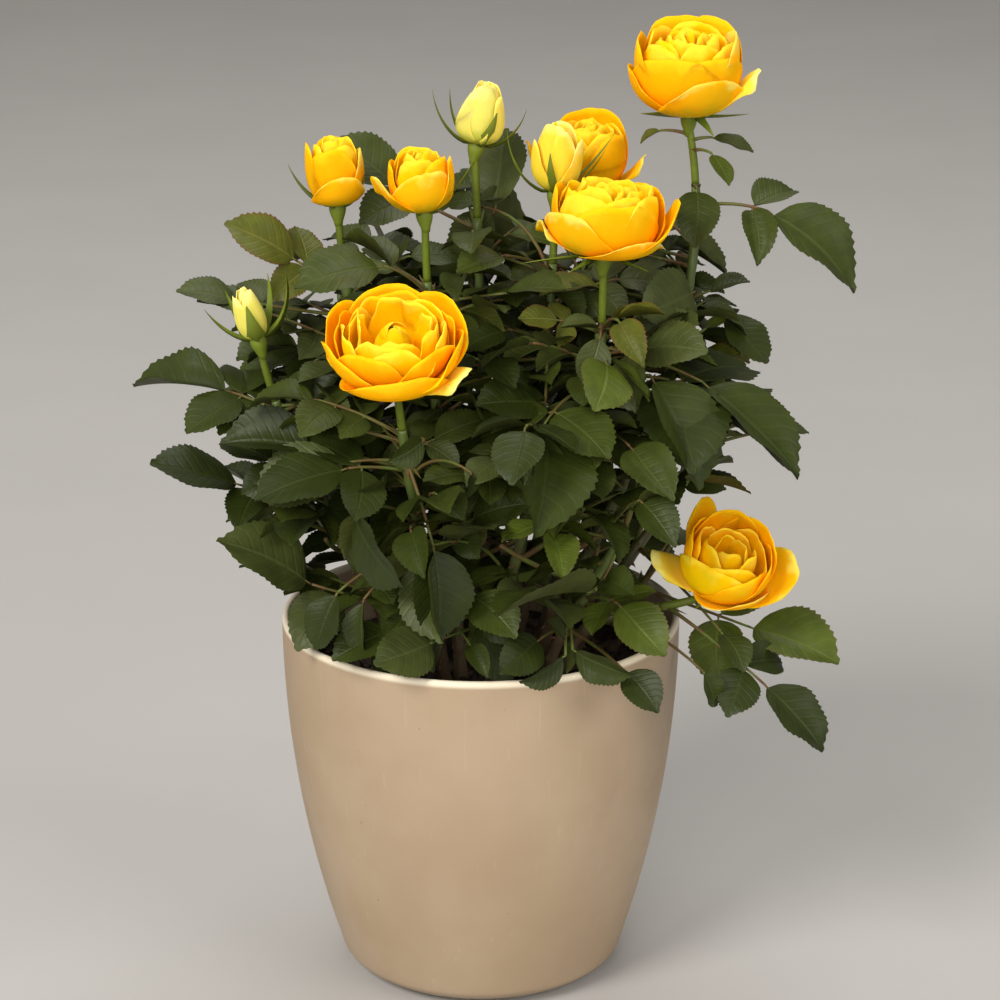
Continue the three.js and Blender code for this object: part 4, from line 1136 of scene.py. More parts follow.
# How leaflets differ: the fold along the midrib in degrees, and as shares of the length how far each arches,
# sags at the tip, bulges between midrib and edge, waves along the edge and bends sideways
SHALLOW_FOLD = (8, 24)
DEEP_FOLD = (28, 44)
SHALLOW_SHARE = 0.8
LEAF_ARCH = (0.02, 0.06)
LEAF_SAG = (-0.01, 0.12)
LEAF_BULGE = (0.014, 0.030)
LEAF_WAVE = (0.006, 0.020)
LEAF_TWIST = (-0.26, 0.26)
LEAF_SWAY = (-0.035, 0.035)
LEAF_BREADTH = (0.98, 1.14)
EDGE_WAVES = 2.1
TOOTH_OUT = 1.035
TOOTH_FORWARD = 0.020
NOTCH_IN = 0.975
LEAF_TONES = {
    "deep": dict(top=(0.022, 0.031, 0.004, 1), vein=(0.032, 0.044, 0.008, 1),
                 under=(0.050, 0.060, 0.008, 1), share=0.20),
    "dark": dict(top=(0.030, 0.041, 0.005, 1), vein=(0.044, 0.058, 0.010, 1),
                 under=(0.058, 0.070, 0.009, 1), share=0.28),
    "mid": dict(top=(0.040, 0.053, 0.007, 1), vein=(0.056, 0.072, 0.013, 1),
                under=(0.066, 0.080, 0.010, 1), share=0.24),
    "grey": dict(top=(0.050, 0.062, 0.014, 1), vein=(0.066, 0.080, 0.022, 1),
                 under=(0.066, 0.080, 0.014, 1), share=0.14),
    "fresh": dict(top=(0.066, 0.090, 0.009, 1), vein=(0.092, 0.118, 0.018, 1),
                  under=(0.096, 0.114, 0.010, 1), share=0.09),
    "young": dict(top=(0.084, 0.094, 0.010, 1), vein=(0.120, 0.116, 0.020, 1),
                  under=(0.108, 0.108, 0.010, 1), share=0.05),
}
HIGH_UP = 255.0
YOUNG_LONGEST = 38
YOUNG_EDGING = {"young": 0.7, "fresh": 0.2}
LOW_CHANCES = [1.25, 1.15, 1.0, 0.9, 0.7, 0.5]
HIGH_CHANCES = [0.5, 0.8, 1.1, 1.2, 1.7, 1.8]
YOUNG_EDGE = (0.120, 0.050, 0.018, 1)
LEAF_SHADE = (0.012, 0.018, 0.005, 1)
VEIN_SLANT = 0.22
VEIN_PAIRS = 8.0

# Veins: a midrib and side veins that run forward to the teeth, as a colour and as a height
leaf_veins, given, wanted = new_effect(
    "leaf_veins",
    {"Blade": (COLOUR, WHITE), "Vein": (COLOUR, WHITE), "Edge": (COLOUR, WHITE), "Edging": (NUMBER, 0.0),
     "Sunk": (NUMBER, 1.0)},
    {"Colour": COLOUR, "Height": NUMBER},
)
lying = lying_on(leaf_veins)
off_rib = sums(leaf_veins, "SUBTRACT", times(leaf_veins, lying["X"], 2.0), 1.0)
off_rib = sums(leaf_veins, "ABSOLUTE", off_rib)
midrib = stepped(leaf_veins, off_rib, 0.01, 0.09, 1.0, 0.0)
forward = sums(leaf_veins, "SUBTRACT", lying["Y"], times(leaf_veins, off_rib, VEIN_SLANT))
between = sums(leaf_veins, "PINGPONG", times(leaf_veins, forward, VEIN_PAIRS), 0.5)
side_veins = stepped(leaf_veins, between, 0.0, 0.20, 1.0, 0.0)
seat = seat_in(leaf_veins)
mottle = stepped(leaf_veins, noise(leaf_veins, seat, 150.0, 4.0), 0.3, 0.7, 0.0, 0.30)
net = place(leaf_veins, "ShaderNodeTexVoronoi", {"Vector": seat, "Scale": 620.0}).outputs["Distance"]
vein_share = sums(leaf_veins, "MAXIMUM", times(leaf_veins, midrib, 0.65), times(leaf_veins, side_veins, 0.16))
veined = mixed(leaf_veins, vein_share, mixed(leaf_veins, mottle, given["Blade"], LEAF_SHADE), given["Vein"])
edge_share = times(leaf_veins, stepped(leaf_veins, off_rib, 0.84, 1.0), given["Edging"])
leaf_veins.links.new(mixed(leaf_veins, edge_share, veined, given["Edge"]), wanted["Colour"])
sunk = sums(leaf_veins, "ADD", midrib, times(leaf_veins, side_veins, 0.32))
sunk = times(leaf_veins, sunk, given["Sunk"])
leaf_veins.links.new(sums(leaf_veins, "SUBTRACT", times(leaf_veins, net, 0.22), sunk), wanted["Height"])


def leaf_finish(name, blade, vein, edging, sunk, roughness, relief):
    finish, tree, shader = new_finish(name)
    veins = use_effect(tree, leaf_veins, Blade=blade, Vein=vein, Edge=YOUNG_EDGE, Edging=edging, Sunk=sunk)
    coloured(tree, shader, veins["Colour"], roughness, 0.20)
    in_relief(tree, shader, veins["Height"], relief, 0.0006)
    return finish


def leaflet_outline(u):
    """Half width of a leaflet at a share of its length, its widest being 1."""
    wide = 2.524 * u**0.55 * np.clip(1 - u, 0, 1) ** 0.825
    return wide * (1 - 0.30 * np.exp(-(((u - 0.93) / 0.06) ** 2)))


def leaflet(blade, rng):
    """Points, faces and lie of one leaflet: an upper skin and an under skin a little below it."""
    length = blade["length"]
    rows = 2 * TEETH + 1
    u = np.linspace(0, 1, rows)
    wide = leaflet_outline(u)
    wide[0], wide[-1] = 0.03, 0.012
    tooth = (np.arange(rows) % 2 == 1) & (u > 0.10) & (u < 0.97)
    fold = math.radians(rng.uniform(*(SHALLOW_FOLD if rng.uniform() < SHALLOW_SHARE else DEEP_FOLD)))
    arch, sag, bulge, wave = [rng.uniform(*span) for span in (LEAF_ARCH, LEAF_SAG, LEAF_BULGE, LEAF_WAVE)]
    phases = rng.uniform(0, 2 * math.pi, 2)
    twist, sway, broad = [rng.uniform(*span) for span in (LEAF_TWIST, LEAF_SWAY, LEAF_BREADTH)]
    half = length * LEAFLET_WIDTH * 0.5 * broad

    def skin(columns, drop):
        c = columns[None, :]
        size = np.abs(c)
        out = wide[:, None] * np.ones_like(c)
        at_tooth = (size > 0.99) & tooth[:, None]
        at_notch = (size > 0.99) & ~tooth[:, None]
        out = out * np.where(at_tooth, TOOTH_OUT, 1.0) * np.where(at_notch, NOTCH_IN, 1.0)
        forward = u[:, None] + np.where(at_tooth, TOOTH_FORWARD, 0.0) + 0.05 * size * wide[:, None]
        forward = PETIOLULE + forward * (1 - PETIOLULE - 0.03)
        lift = arch * 4 * u * (1 - u) - sag * u**2
        lift = lift[:, None] * length + np.sin(fold) * half * out * size
        lift = lift + bulge * length * np.sin(np.pi * size) * np.minimum(1, wide[:, None] * 1.4)
        phase = np.where(c > 0, phases[0], phases[1])
        lift = lift + wave * length * np.sin(2 * np.pi * EDGE_WAVES * u[:, None] + phase) * size**2
        across = np.cos(fold) * half * out * c + sway * length * np.sin(np.pi * u)[:, None]
        angle = twist * u[:, None]
        c_turn, s_turn = np.cos(angle), np.sin(angle)
        across, lift = across * c_turn - lift * s_turn, across * s_turn + lift * c_turn - drop
        grid = (blade["root"] + forward[..., None] * length * blade["axis"]
                + across[..., None] * blade["side"] + lift[..., None] * blade["face"])
        uv = np.stack([0.5 + 0.5 * c * np.ones_like(out), u[:, None] * np.ones_like(out)], -1)
        quads = grid_faces(rows, len(columns))[:, [0, 3, 2, 1]]
        return grid.reshape(-1, 3), quads, uv.reshape(-1, 2)

    top, top_quads, top_uv = skin(LEAF_COLUMNS, 0.0)
    low, low_quads, low_uv = skin(UNDER_COLUMNS, LEAF_THICK * UNDER_DROPS)
    return top, top_quads, top_uv, low, low_quads[:, ::-1], low_uv


rng = np.random.default_rng(81)
tone_names = list(LEAF_TONES)
tone_shares = np.array([LEAF_TONES[name]["share"] for name in tone_names])
sheets = {name: [] for name in tone_names}
for leaf in leaves:
    high = leaf["blades"][0]["root"][2] > HIGH_UP
    chances = tone_shares * np.array(HIGH_CHANCES if high else LOW_CHANCES)
    tone_name = tone_names[rng.choice(len(tone_names), p=chances / chances.sum())]
    if leaf["blades"][0]["length"] > YOUNG_LONGEST and tone_name == "young":
        tone_name = "mid"
    for blade in leaf["blades"]:
        sheets[tone_name].append(leaflet(blade, rng))
for name, parts in sheets.items():
    tone = LEAF_TONES[name]
    edging = YOUNG_EDGING.get(name, 0.0)
    top_finish = leaf_finish(f"leaf_top_{name}", tone["top"], tone["vein"], edging, 1.0, 0.45, 0.42)
    under_finish = leaf_finish(f"leaf_under_{name}", tone["under"], tone["vein"], 0.0, -0.8, 0.62, 0.5)
    points, uvs, tops, lows, count = [], [], [], [], 0
    for top, top_quads, top_uv, low, low_quads, low_uv in parts:
        points += [top, low]
        uvs += [top_uv, low_uv]
        tops.append(top_quads + count)
        lows.append(low_quads + count + len(top))
        count += len(top) + len(low)
    add_piece(f"leaves_{name}", np.concatenate(points), [np.concatenate(tops), np.concatenate(lows)],
              [top_finish, under_finish], leaf_nodes, np.concatenate(uvs), [0, 1])
add_joined("stipules", wing_parts, stalk_skin, leaf_nodes)

# Flowers
# Full yellow roses and buds on their stalks. Thin soft petals overlap in a spiral: the outer ones are wide,
# paler and touched with green, the inner ones crowd upright with waved edges round a rolled heart.

HIP_HEIGHT = 5.0
SEPAL_GREEN = (0.155, 0.195, 0.022, 1)
PETAL_ROWS = 15
PETAL_COLUMNS = 17
PETAL_THICK = 0.34
PETAL_ROUND = 0.42
PETAL_DOME = 0.22
PETAL_LAP = 0.04
PETAL_JITTER = 7
FIBRES_ACROSS = 26.0
FIBRES_ALONG = 1.8
PETAL_GLOW = (1.0, 0.62, 0.06)
PETAL_GLOW_DEPTH = 0.0025
PETAL_ROUGHNESS = 0.6
GOLD = dict(base=(1.0, 0.25, 0.001, 1), body=(1.0, 0.37, 0.001, 1), edge=(1.0, 0.46, 0.006, 1))
BRIGHT = dict(base=(1.0, 0.33, 0.001, 1), body=(1.0, 0.49, 0.001, 1), edge=(1.0, 0.62, 0.030, 1))
OUTER = dict(base=(0.46, 0.40, 0.010, 1), body=(0.94, 0.39, 0.003, 1), edge=(0.84, 0.60, 0.080, 1))
PALE = dict(base=(0.52, 0.48, 0.020, 1), body=(0.98, 0.60, 0.040, 1), edge=(1.0, 0.76, 0.180, 1))
BUD = dict(base=(0.36, 0.42, 0.050, 1), body=(0.84, 0.66, 0.110, 1), edge=(0.96, 0.78, 0.220, 1))

# Petal flush: a base, a body and an edge colour that run into each other, and fine lengthwise fibres
petal_flush, given, wanted = new_effect(
    "petal_flush",
    {"Base": (COLOUR, WHITE), "Body": (COLOUR, WHITE), "Edge": (COLOUR, WHITE)},
    {"Colour": COLOUR, "Height": NUMBER},
)
lying = lying_on(petal_flush)
seat = seat_in(petal_flush)
drift = sums(petal_flush, "SUBTRACT", noise(petal_flush, seat, 110.0, 3.0), 0.5)
upward = sums(petal_flush, "ADD", lying["Y"], times(petal_flush, drift, 0.62))
colour = mixed(petal_flush, stepped(petal_flush, upward, 0.12, 0.66), given["Base"], given["Body"])
colour = mixed(petal_flush, stepped(petal_flush, upward, 0.84, 1.02), colour, given["Edge"])
petal_flush.links.new(colour, wanted["Colour"])
fan = {0: times(petal_flush, lying["X"], FIBRES_ACROSS), 1: times(petal_flush, lying["Y"], FIBRES_ALONG)}
fan = place(petal_flush, "ShaderNodeCombineXYZ", fan)
petal_flush.links.new(noise(petal_flush, fan.outputs[0], 1.0, 2.0), wanted["Height"])


def petal_finish(name, tones, roughness):
    finish, tree, shader = new_finish(name)
    flush = use_effect(tree, petal_flush, Base=tones["base"], Body=tones["body"], Edge=tones["edge"])
    coloured(tree, shader, flush["Colour"], roughness, 0.03)
    shader.inputs["Subsurface Weight"].default_value = 0.5
    shader.inputs["Subsurface Radius"].default_value = PETAL_GLOW
    shader.inputs["Subsurface Scale"].default_value = PETAL_GLOW_DEPTH
    in_relief(tree, shader, flush["Height"], 0.10, 0.0005)
    return finish


def petal(rng, angle, rim, belly, half_width, wave, curl, flat, roll):
    """One petal in the flower's own frame. rim and belly are radius and height in millimetres, angle is where
    its middle stands round the heart, half_width is measured along the arc, curl bends the lip outward, flat
    takes the petal off the round and roll turns its sides outward."""
    a = np.linspace(0, 1, PETAL_ROWS)[:, None] ** 0.85
    b = np.linspace(-1, 1, PETAL_COLUMNS)[None, :]
    size = np.abs(b)
    up = a * (1 - PETAL_DOME * size**3 + 0.05 * rng.uniform(-1, 1) * b)
    # Its middle line: from the foot out under the belly and up to the rim
    corners = [(1.4, HIP_HEIGHT - 1.0), (belly[0] * 0.80, HIP_HEIGHT - 0.6), (belly[0] * 1.16, belly[1]), rim]
    weights = [(1 - up) ** 3, 3 * up * (1 - up) ** 2, 3 * up**2 * (1 - up), up**3]
    r = sum(w * p[0] for w, p in zip(weights, corners))
    z = sum(w * p[1] for w, p in zip(weights, corners))
    # Its width along the arc, narrow at the foot and rounded at the top
    wide = np.clip(0.14 + 1.12 * np.sin(np.minimum(a * 1.25, 1) * math.pi / 2) ** 1.15, 0, 1)
    wide = half_width * wide * np.sqrt(1 - PETAL_ROUND * np.clip((a - 0.5) / 0.5, 0, 1) ** 2)
    turn = b * wide / np.maximum(r, half_width * 0.44)
    off_round = np.minimum(1 / np.maximum(np.cos(turn), 0.3), 1.7) - 1
    r = r * (1 + flat * off_round * np.minimum(1, a * 1.6))
    # Waves, mostly near the edge
    waves, skew = rng.uniform(0, 2 * math.pi, 5), rng.uniform(-1, 1)
    top = a**2.6
    r = r + wave * top * (np.sin(1.5 * b * math.pi + waves[0]) + 0.5 * np.sin(2.9 * b * math.pi + waves[1]))
    r = r + wave * (0.8 * skew * b * a + 0.16 * top * np.sin(5.3 * b * math.pi + waves[4]))
    long_wave, short_wave = np.sin(1.2 * b * math.pi + waves[2]), np.sin(3.7 * b * math.pi + waves[3])
    z = z + wave * top * (0.5 * long_wave + 0.16 * short_wave)
    z = z + (0.18 + 0.18 * wave) * a**5 * rng.uniform(-1, 1, PETAL_COLUMNS)[None, :]
    # The lip curls over, the sides roll, and each petal laps over the next
    lip = np.clip((a * (1 + 0.10 * size**2) - 0.74) / 0.26, 0, 1.2)
    r = r + curl * lip**1.8
    z = z - np.abs(curl) * 0.55 * lip**2.8
    sides = np.clip((size - 0.55) / 0.45, 0, 1) ** 1.8 * np.minimum(1, a * 1.3)
    r = r + roll * sides
    z = z - np.abs(roll) * 0.30 * sides * a
    r = r + PETAL_LAP * belly[0] * b * np.minimum(1, a * 2)
    theta = math.radians(angle) + turn
    grid = np.stack([r * np.cos(theta), r * np.sin(theta), z * np.ones_like(theta)], -1)
    # Two skins, thinner towards the edge, joined round the border
    du, dv = np.gradient(grid, axis=0), np.gradient(grid, axis=1)
    normals = np.cross(dv, du)
    normals /= np.maximum(np.linalg.norm(normals, axis=2), 1e-9)[..., None]
    thick = PETAL_THICK * (1 - 0.45 * a) * (1 - 0.4 * size**4)
    outer = grid + normals * (thick / 2)[..., None]
    inner = grid - normals * (thick / 2)[..., None]
    n, m = PETAL_ROWS, PETAL_COLUMNS
    front = grid_faces(n, m)
    back = front[:, ::-1] + n * m
    foot_edge, right_edge = np.arange(m - 1), np.arange(n - 1) * m + m - 1
    head_edge, left_edge = (n - 1) * m + np.arange(m - 1, 0, -1), np.arange(n - 1, 0, -1) * m
    border = np.concatenate([foot_edge, right_edge, head_edge, left_edge])
    following = np.roll(border, -1)
    rim_faces = np.stack([border, border + n * m, following + n * m, following], 1)
    uv = np.stack([0.5 + 0.5 * b * np.ones_like(a), a * np.ones_like(b)], -1).reshape(-1, 2)
    quads = np.concatenate([front, back, rim_faces])
    points = np.concatenate([outer.reshape(-1, 3), inner.reshape(-1, 3)])
    return points, quads, np.zeros((0, 3), int), np.concatenate([uv, uv])


# Every flower from the outside to its heart. Each row sets one or more petals: how many, the angle of the
# first, the rim's radius and height and the belly's radius and height as shares of half the flower's width
# and of its height, the half width as a share of half the flower's width, then in millimetres the waving of
# the edge, the curl of the lip, how far it leaves the round, the roll of the sides, and the colour.
# Angle 0 points right, 90 to the front, 180 left, 270 to the back.
BLOOMS = {
    "right_tall": [
        (1, 6, (1.10, 0.56), (0.74, 0.26), 0.42, 0.5, 2.2, 0.20, 1.6, "pale"),
        (1, 64, (0.92, 0.50), (0.86, 0.22), 0.90, 0.3, 0.8, 0.00, 0.6, "outer"),
        (1, 184, (0.98, 0.52), (0.94, 0.26), 0.90, 0.3, 0.6, 0.00, 0.5, "gold"),
        (1, 268, (0.88, 0.66), (0.90, 0.26), 0.95, 0.3, 0.6, 0.00, 0.5, "gold"),
        (1, 120, (0.82, 0.70), (0.95, 0.38), 1.20, 0.3, 0.2, 0.00, 0.1, "gold"),
        (1, 52, (0.80, 0.70), (0.90, 0.38), 1.05, 0.4, 0.2, 0.00, 0.1, "gold"),
        (1, 354, (0.74, 0.90), (0.84, 0.42), 0.95, 0.4, 0.5, 0.00, 0.3, "outer"),
        (1, 186, (0.86, 0.88), (0.95, 0.42), 0.95, 0.4, 0.3, 0.00, 0.3, "gold"),
        (1, 258, (0.76, 1.00), (0.90, 0.44), 1.20, 0.4, 0.2, 0.00, 0.2, "gold"),
        (1, 310, (0.72, 0.97), (0.86, 0.44), 0.95, 0.4, 0.2, 0.00, 0.2, "gold"),
        (1, 214, (0.68, 0.90), (0.84, 0.44), 0.90, 0.7, 0.2, 0.00, 0.2, "bright"),
        (1, 286, (0.62, 0.92), (0.80, 0.46), 0.95, 0.6, 0.1, 0.00, 0.1, "bright"),
        (3, 30, (0.64, 0.80), (0.80, 0.44), 0.85, 0.8, 0.2, 0.10, 0.2, "bright"),
        (4, 64, (0.50, 0.84), (0.66, 0.48), 0.66, 1.2, 0.1, 0.15, 0.2, "bright"),
        (4, 100, (0.36, 0.86), (0.52, 0.50), 0.54, 1.4, 0.1, 0.15, 0.1, "bright"),
        (3, 150, (0.22, 0.90), (0.36, 0.52), 0.42, 1.2, 0.0, 0.10, 0.0, "bright"),
        (3, 200, (0.08, 0.90), (0.22, 0.54), 0.34, 0.9, 0.0, 0.05, 0.0, "bright"),
    ],
    "right_back": [
        (1, 184, (1.16, 0.66), (0.84, 0.30), 0.42, 0.4, 1.0, 0.20, 0.8, "gold"),
        (1, 12, (1.10, 0.52), (0.84, 0.28), 0.44, 0.4, 1.0, 0.20, 0.8, "outer"),
        (1, 84, (0.68, 0.66), (0.80, 0.34), 1.20, 0.3, 0.2, 0.00, 0.1, "gold"),
        (1, 26, (0.66, 0.80), (0.78, 0.36), 1.00, 0.3, 0.2, 0.00, 0.1, "gold"),
        (1, 166, (0.72, 0.84), (0.82, 0.36), 1.00, 0.4, 0.3, 0.00, 0.2, "gold"),
        (1, 268, (0.66, 1.00), (0.80, 0.42), 1.20, 0.4, 0.2, 0.00, 0.1, "gold"),
        (4, 50, (0.56, 0.86), (0.70, 0.44), 0.80, 0.8, 0.2, 0.05, 0.2, "bright"),
        (4, 95, (0.42, 0.90), (0.56, 0.48), 0.64, 1.1, 0.1, 0.10, 0.1, "bright"),
        (3, 140, (0.28, 0.92), (0.40, 0.52), 0.50, 1.1, 0.0, 0.10, 0.0, "bright"),
        (3, 190, (0.12, 0.92), (0.24, 0.55), 0.40, 0.8, 0.0, 0.05, 0.0, "bright"),
    ],
    "right_inner": [
        (1, 170, (0.86, 0.74), (1.00, 0.30), 0.95, 0.1, 0.4, 0.00, 0.3, "pale"),
        (1, 20, (0.84, 0.80), (0.96, 0.30), 0.90, 0.1, 0.5, 0.00, 0.4, "pale"),
        (1, 70, (0.60, 0.94), (0.96, 0.34), 0.62, 0.1, 0.3, 0.00, 1.0, "pale"),
        (1, 268, (0.62, 0.92), (0.94, 0.36), 1.20, 0.1, 0.3, 0.00, 0.2, "bright"),
        (2, 110, (0.46, 1.00), (0.86, 0.40), 1.10, 0.1, 0.1, 0.00, 0.1, "pale"),
        (2, 30, (0.18, 1.00), (0.60, 0.46), 0.90, 0.1, 0.0, 0.00, 0.0, "bright"),
    ],
    "right_front": [
        (1, 52, (0.84, 0.34), (0.76, 0.10), 0.76, 0.3, 0.8, 0.00, 0.6, "outer"),
        (1, 172, (0.92, 0.44), (0.78, 0.20), 0.36, 0.4, 1.4, 0.10, 1.0, "outer"),
        (1, 142, (0.80, 0.66), (0.82, 0.22), 0.84, 0.3, 0.4, 0.00, 0.3, "outer"),
        (1, 4, (0.98, 0.84), (0.84, 0.26), 0.64, 0.3, 0.7, 0.05, 0.4, "gold"),
        (1, 268, (0.74, 0.86), (0.80, 0.30), 1.00, 0.3, 0.4, 0.00, 0.3, "gold"),
        (1, 78, (0.68, 0.84), (0.80, 0.26), 1.05, 0.3, 0.2, 0.00, 0.1, "gold"),
        (1, 190, (0.78, 0.90), (0.80, 0.30), 0.80, 0.4, 0.3, 0.00, 0.2, "gold"),
        (1, 322, (0.76, 0.94), (0.80, 0.32), 0.80, 0.4, 0.3, 0.00, 0.2, "gold"),
        (4, 30, (0.66, 0.92), (0.74, 0.36), 0.72, 0.7, 0.2, 0.00, 0.2, "bright"),
        (4, 76, (0.56, 0.95), (0.64, 0.40), 0.62, 1.0, 0.2, 0.10, 0.2, "bright"),
        (4, 116, (0.42, 0.97), (0.52, 0.44), 0.52, 1.2, 0.1, 0.10, 0.1, "bright"),
        (3, 160, (0.28, 0.97), (0.38, 0.48), 0.42, 1.1, 0.0, 0.10, 0.0, "bright"),
        (3, 210, (0.12, 0.95), (0.22, 0.50), 0.32, 0.8, 0.0, 0.05, 0.0, "bright"),
    ],
    "middle": [
        (1, 172, (0.56, 0.78), (1.16, 0.20), 1.10, 0.1, 0.2, 0.00, 0.3, "bud"),
        (1, 12, (0.62, 0.82), (1.14, 0.20), 1.05, 0.1, 0.3, 0.00, 0.4, "bud"),
        (1, 100, (0.40, 0.96), (1.10, 0.26), 1.10, 0.1, 0.1, 0.00, 0.5, "bud"),
        (1, 300, (0.42, 0.98), (1.06, 0.30), 1.20, 0.1, 0.1, 0.00, 0.2, "bud"),
        (2, 60, (0.34, 1.00), (0.94, 0.34), 1.10, 0.1, 0.2, 0.00, 0.2, "bud"),
        (2, 150, (0.14, 0.99), (0.62, 0.40), 0.90, 0.0, 0.0, 0.00, 0.0, "pale"),
    ],
    "middle_left": [
        (1, 158, (1.12, 0.68), (0.84, 0.20), 0.60, 0.2, 0.8, 0.10, 0.8, "outer"),
        (1, 6, (0.78, 0.84), (0.84, 0.26), 0.62, 0.2, 0.3, 0.00, 0.4, "outer"),
        (1, 78, (0.80, 0.70), (0.86, 0.22), 1.12, 0.3, 0.3, 0.00, 0.2, "outer"),
        (1, 270, (0.72, 0.84), (0.84, 0.26), 1.10, 0.2, 0.2, 0.00, 0.2, "gold"),
        (1, 186, (0.72, 0.80), (0.82, 0.28), 0.90, 0.3, 0.2, 0.00, 0.1, "gold"),
        (1, 30, (0.64, 0.84), (0.80, 0.30), 0.95, 0.3, 0.2, 0.00, 0.1, "gold"),
        (1, 262, (0.58, 0.95), (0.78, 0.34), 1.10, 0.3, 0.1, 0.00, 0.1, "bright"),
        (3, 90, (0.48, 0.86), (0.66, 0.40), 0.80, 0.5, 0.1, 0.00, 0.1, "bright"),
        (3, 140, (0.28, 0.94), (0.48, 0.48), 0.60, 0.5, 0.0, 0.00, 0.0, "bright"),
        (2, 60, (0.10, 0.94), (0.28, 0.52), 0.44, 0.4, 0.0, 0.00, 0.0, "bright"),
    ],
    "left_tall": [
        (1, 74, (0.92, 0.50), (0.96, 0.14), 1.05, 0.4, 0.6, 0.00, 0.4, "outer"),
        (1, 176, (0.84, 0.94), (0.92, 0.26), 1.00, 0.2, 0.1, 0.00, 0.1, "gold"),
        (1, 350, (0.78, 0.80), (0.92, 0.26), 1.05, 0.2, 0.2, 0.00, 0.1, "outer"),
        (1, 270, (0.76, 0.96), (0.90, 0.28), 1.25, 0.2, 0.1, 0.00, 0.1, "gold"),
        (1, 100, (0.74, 0.90), (0.88, 0.32), 1.20, 0.3, 0.1, 0.00, 0.1, "gold"),
        (3, 60, (0.56, 0.94), (0.74, 0.38), 0.95, 0.3, 0.1, 0.00, 0.1, "bright"),
        (3, 110, (0.32, 1.00), (0.52, 0.46), 0.70, 0.4, 0.0, 0.00, 0.0, "bright"),
        (2, 30, (0.12, 0.98), (0.32, 0.52), 0.50, 0.3, 0.0, 0.00, 0.0, "bright"),
    ],
    "front_left": [
        (1, 30, (1.10, 0.46), (0.76, 0.16), 0.36, 0.5, 1.6, 0.20, 1.4, "pale"),
        (1, 84, (0.90, 0.50), (0.94, 0.12), 1.00, 0.3, 0.4, 0.00, 0.3, "gold"),
        (1, 146, (0.90, 0.64), (0.86, 0.20), 0.90, 0.4, 0.5, 0.00, 0.4, "gold"),
        (1, 206, (0.92, 0.78), (0.86, 0.22), 0.86, 0.4, 0.5, 0.00, 0.4, "gold"),
        (1, 262, (0.92, 0.86), (0.86, 0.24), 0.90, 0.5, 0.6, 0.00, 0.4, "gold"),
        (1, 316, (0.92, 0.84), (0.86, 0.24), 0.86, 0.4, 0.6, 0.00, 0.4, "gold"),
        (1, 14, (0.90, 0.70), (0.86, 0.22), 0.84, 0.5, 0.6, 0.00, 0.5, "gold"),
        (5, 46, (0.78, 0.80), (0.78, 0.30), 0.70, 0.6, 0.6, 0.05, 0.5, "gold"),
        (5, 86, (0.66, 0.86), (0.70, 0.34), 0.60, 0.8, 0.6, 0.10, 0.4, "bright"),
        (4, 20, (0.54, 0.88), (0.60, 0.38), 0.58, 0.9, 0.5, 0.10, 0.4, "bright"),
        (1, 186, (0.44, 0.92), (0.50, 0.42), 0.36, 0.8, 0.6, 0.10, 0.8, "bright"),
        (1, 268, (0.52, 0.90), (0.58, 0.42), 0.46, 0.9, 0.5, 0.10, 0.6, "bright"),
        (1, 346, (0.44, 0.90), (0.50, 0.42), 0.38, 0.9, 0.6, 0.10, 0.8, "bright"),
        (1, 80, (0.44, 0.84), (0.52, 0.42), 0.50, 0.6, 0.3, 0.00, 0.3, "bright"),
        (1, 100, (0.02, 0.80), (0.36, 0.66), 0.46, 0.1, 0.0, 0.00, 0.0, "bright"),
        (1, 215, (0.02, 0.82), (0.34, 0.68), 0.44, 0.1, 0.0, 0.00, 0.0, "bright"),
        (1, 335, (0.00, 0.81), (0.34, 0.66), 0.46, 0.1, 0.0, 0.00, 0.0, "bright"),
        (1, 150, (0.03, 0.78), (0.16, 0.60), 0.60, 0.0, 0.0, 0.00, 0.0, "bright"),
    ],
    "left": [
        (1, 150, (0.56, 0.86), (0.92, 0.26), 1.10, 0.1, 0.1, 0.00, 0.2, "bud"),
        (2, 30, (0.34, 0.96), (0.88, 0.32), 1.15, 0.1, 0.1, 0.00, 0.1, "bud"),
        (2, 100, (0.12, 1.00), (0.64, 0.42), 1.00, 0.0, 0.0, 0.00, 0.0, "bud"),
    ],
    "right_low": [
        (1, 178, (1.06, 0.44), (0.62, 0.10), 0.34, 0.3, 1.2, 0.10, 1.0, "pale"),
        (1, 350, (1.00, 0.56), (0.70, 0.16), 0.62, 0.3, 0.8, 0.10, 0.6, "outer"),
        (1, 60, (0.70, 0.34), (0.66, 0.10), 0.70, 0.3, 0.4, 0.00, 0.4, "outer"),
        (1, 240, (0.84, 1.08), (0.66, 0.30), 0.36, 0.2, 0.5, 0.00, 0.6, "gold"),
        (1, 122, (0.56, 0.76), (0.68, 0.24), 0.92, 0.3, 0.2, 0.00, 0.1, "bright"),
        (1, 62, (0.58, 0.70), (0.68, 0.24), 0.72, 0.3, 0.2, 0.00, 0.1, "gold"),
        (1, 8, (0.58, 0.82), (0.66, 0.26), 0.72, 0.3, 0.2, 0.00, 0.1, "gold"),
        (1, 310, (0.56, 0.98), (0.66, 0.32), 0.76, 0.3, 0.2, 0.00, 0.1, "gold"),
        (1, 200, (0.56, 0.96), (0.66, 0.30), 0.76, 0.3, 0.2, 0.00, 0.1, "gold"),
        (1, 262, (0.54, 1.04), (0.66, 0.34), 0.76, 0.3, 0.2, 0.00, 0.1, "gold"),
        (3, 80, (0.46, 0.84), (0.56, 0.36), 0.62, 0.5, 0.2, 0.05, 0.2, "bright"),
        (3, 30, (0.34, 0.86), (0.42, 0.40), 0.50, 0.6, 0.1, 0.05, 0.1, "bright"),
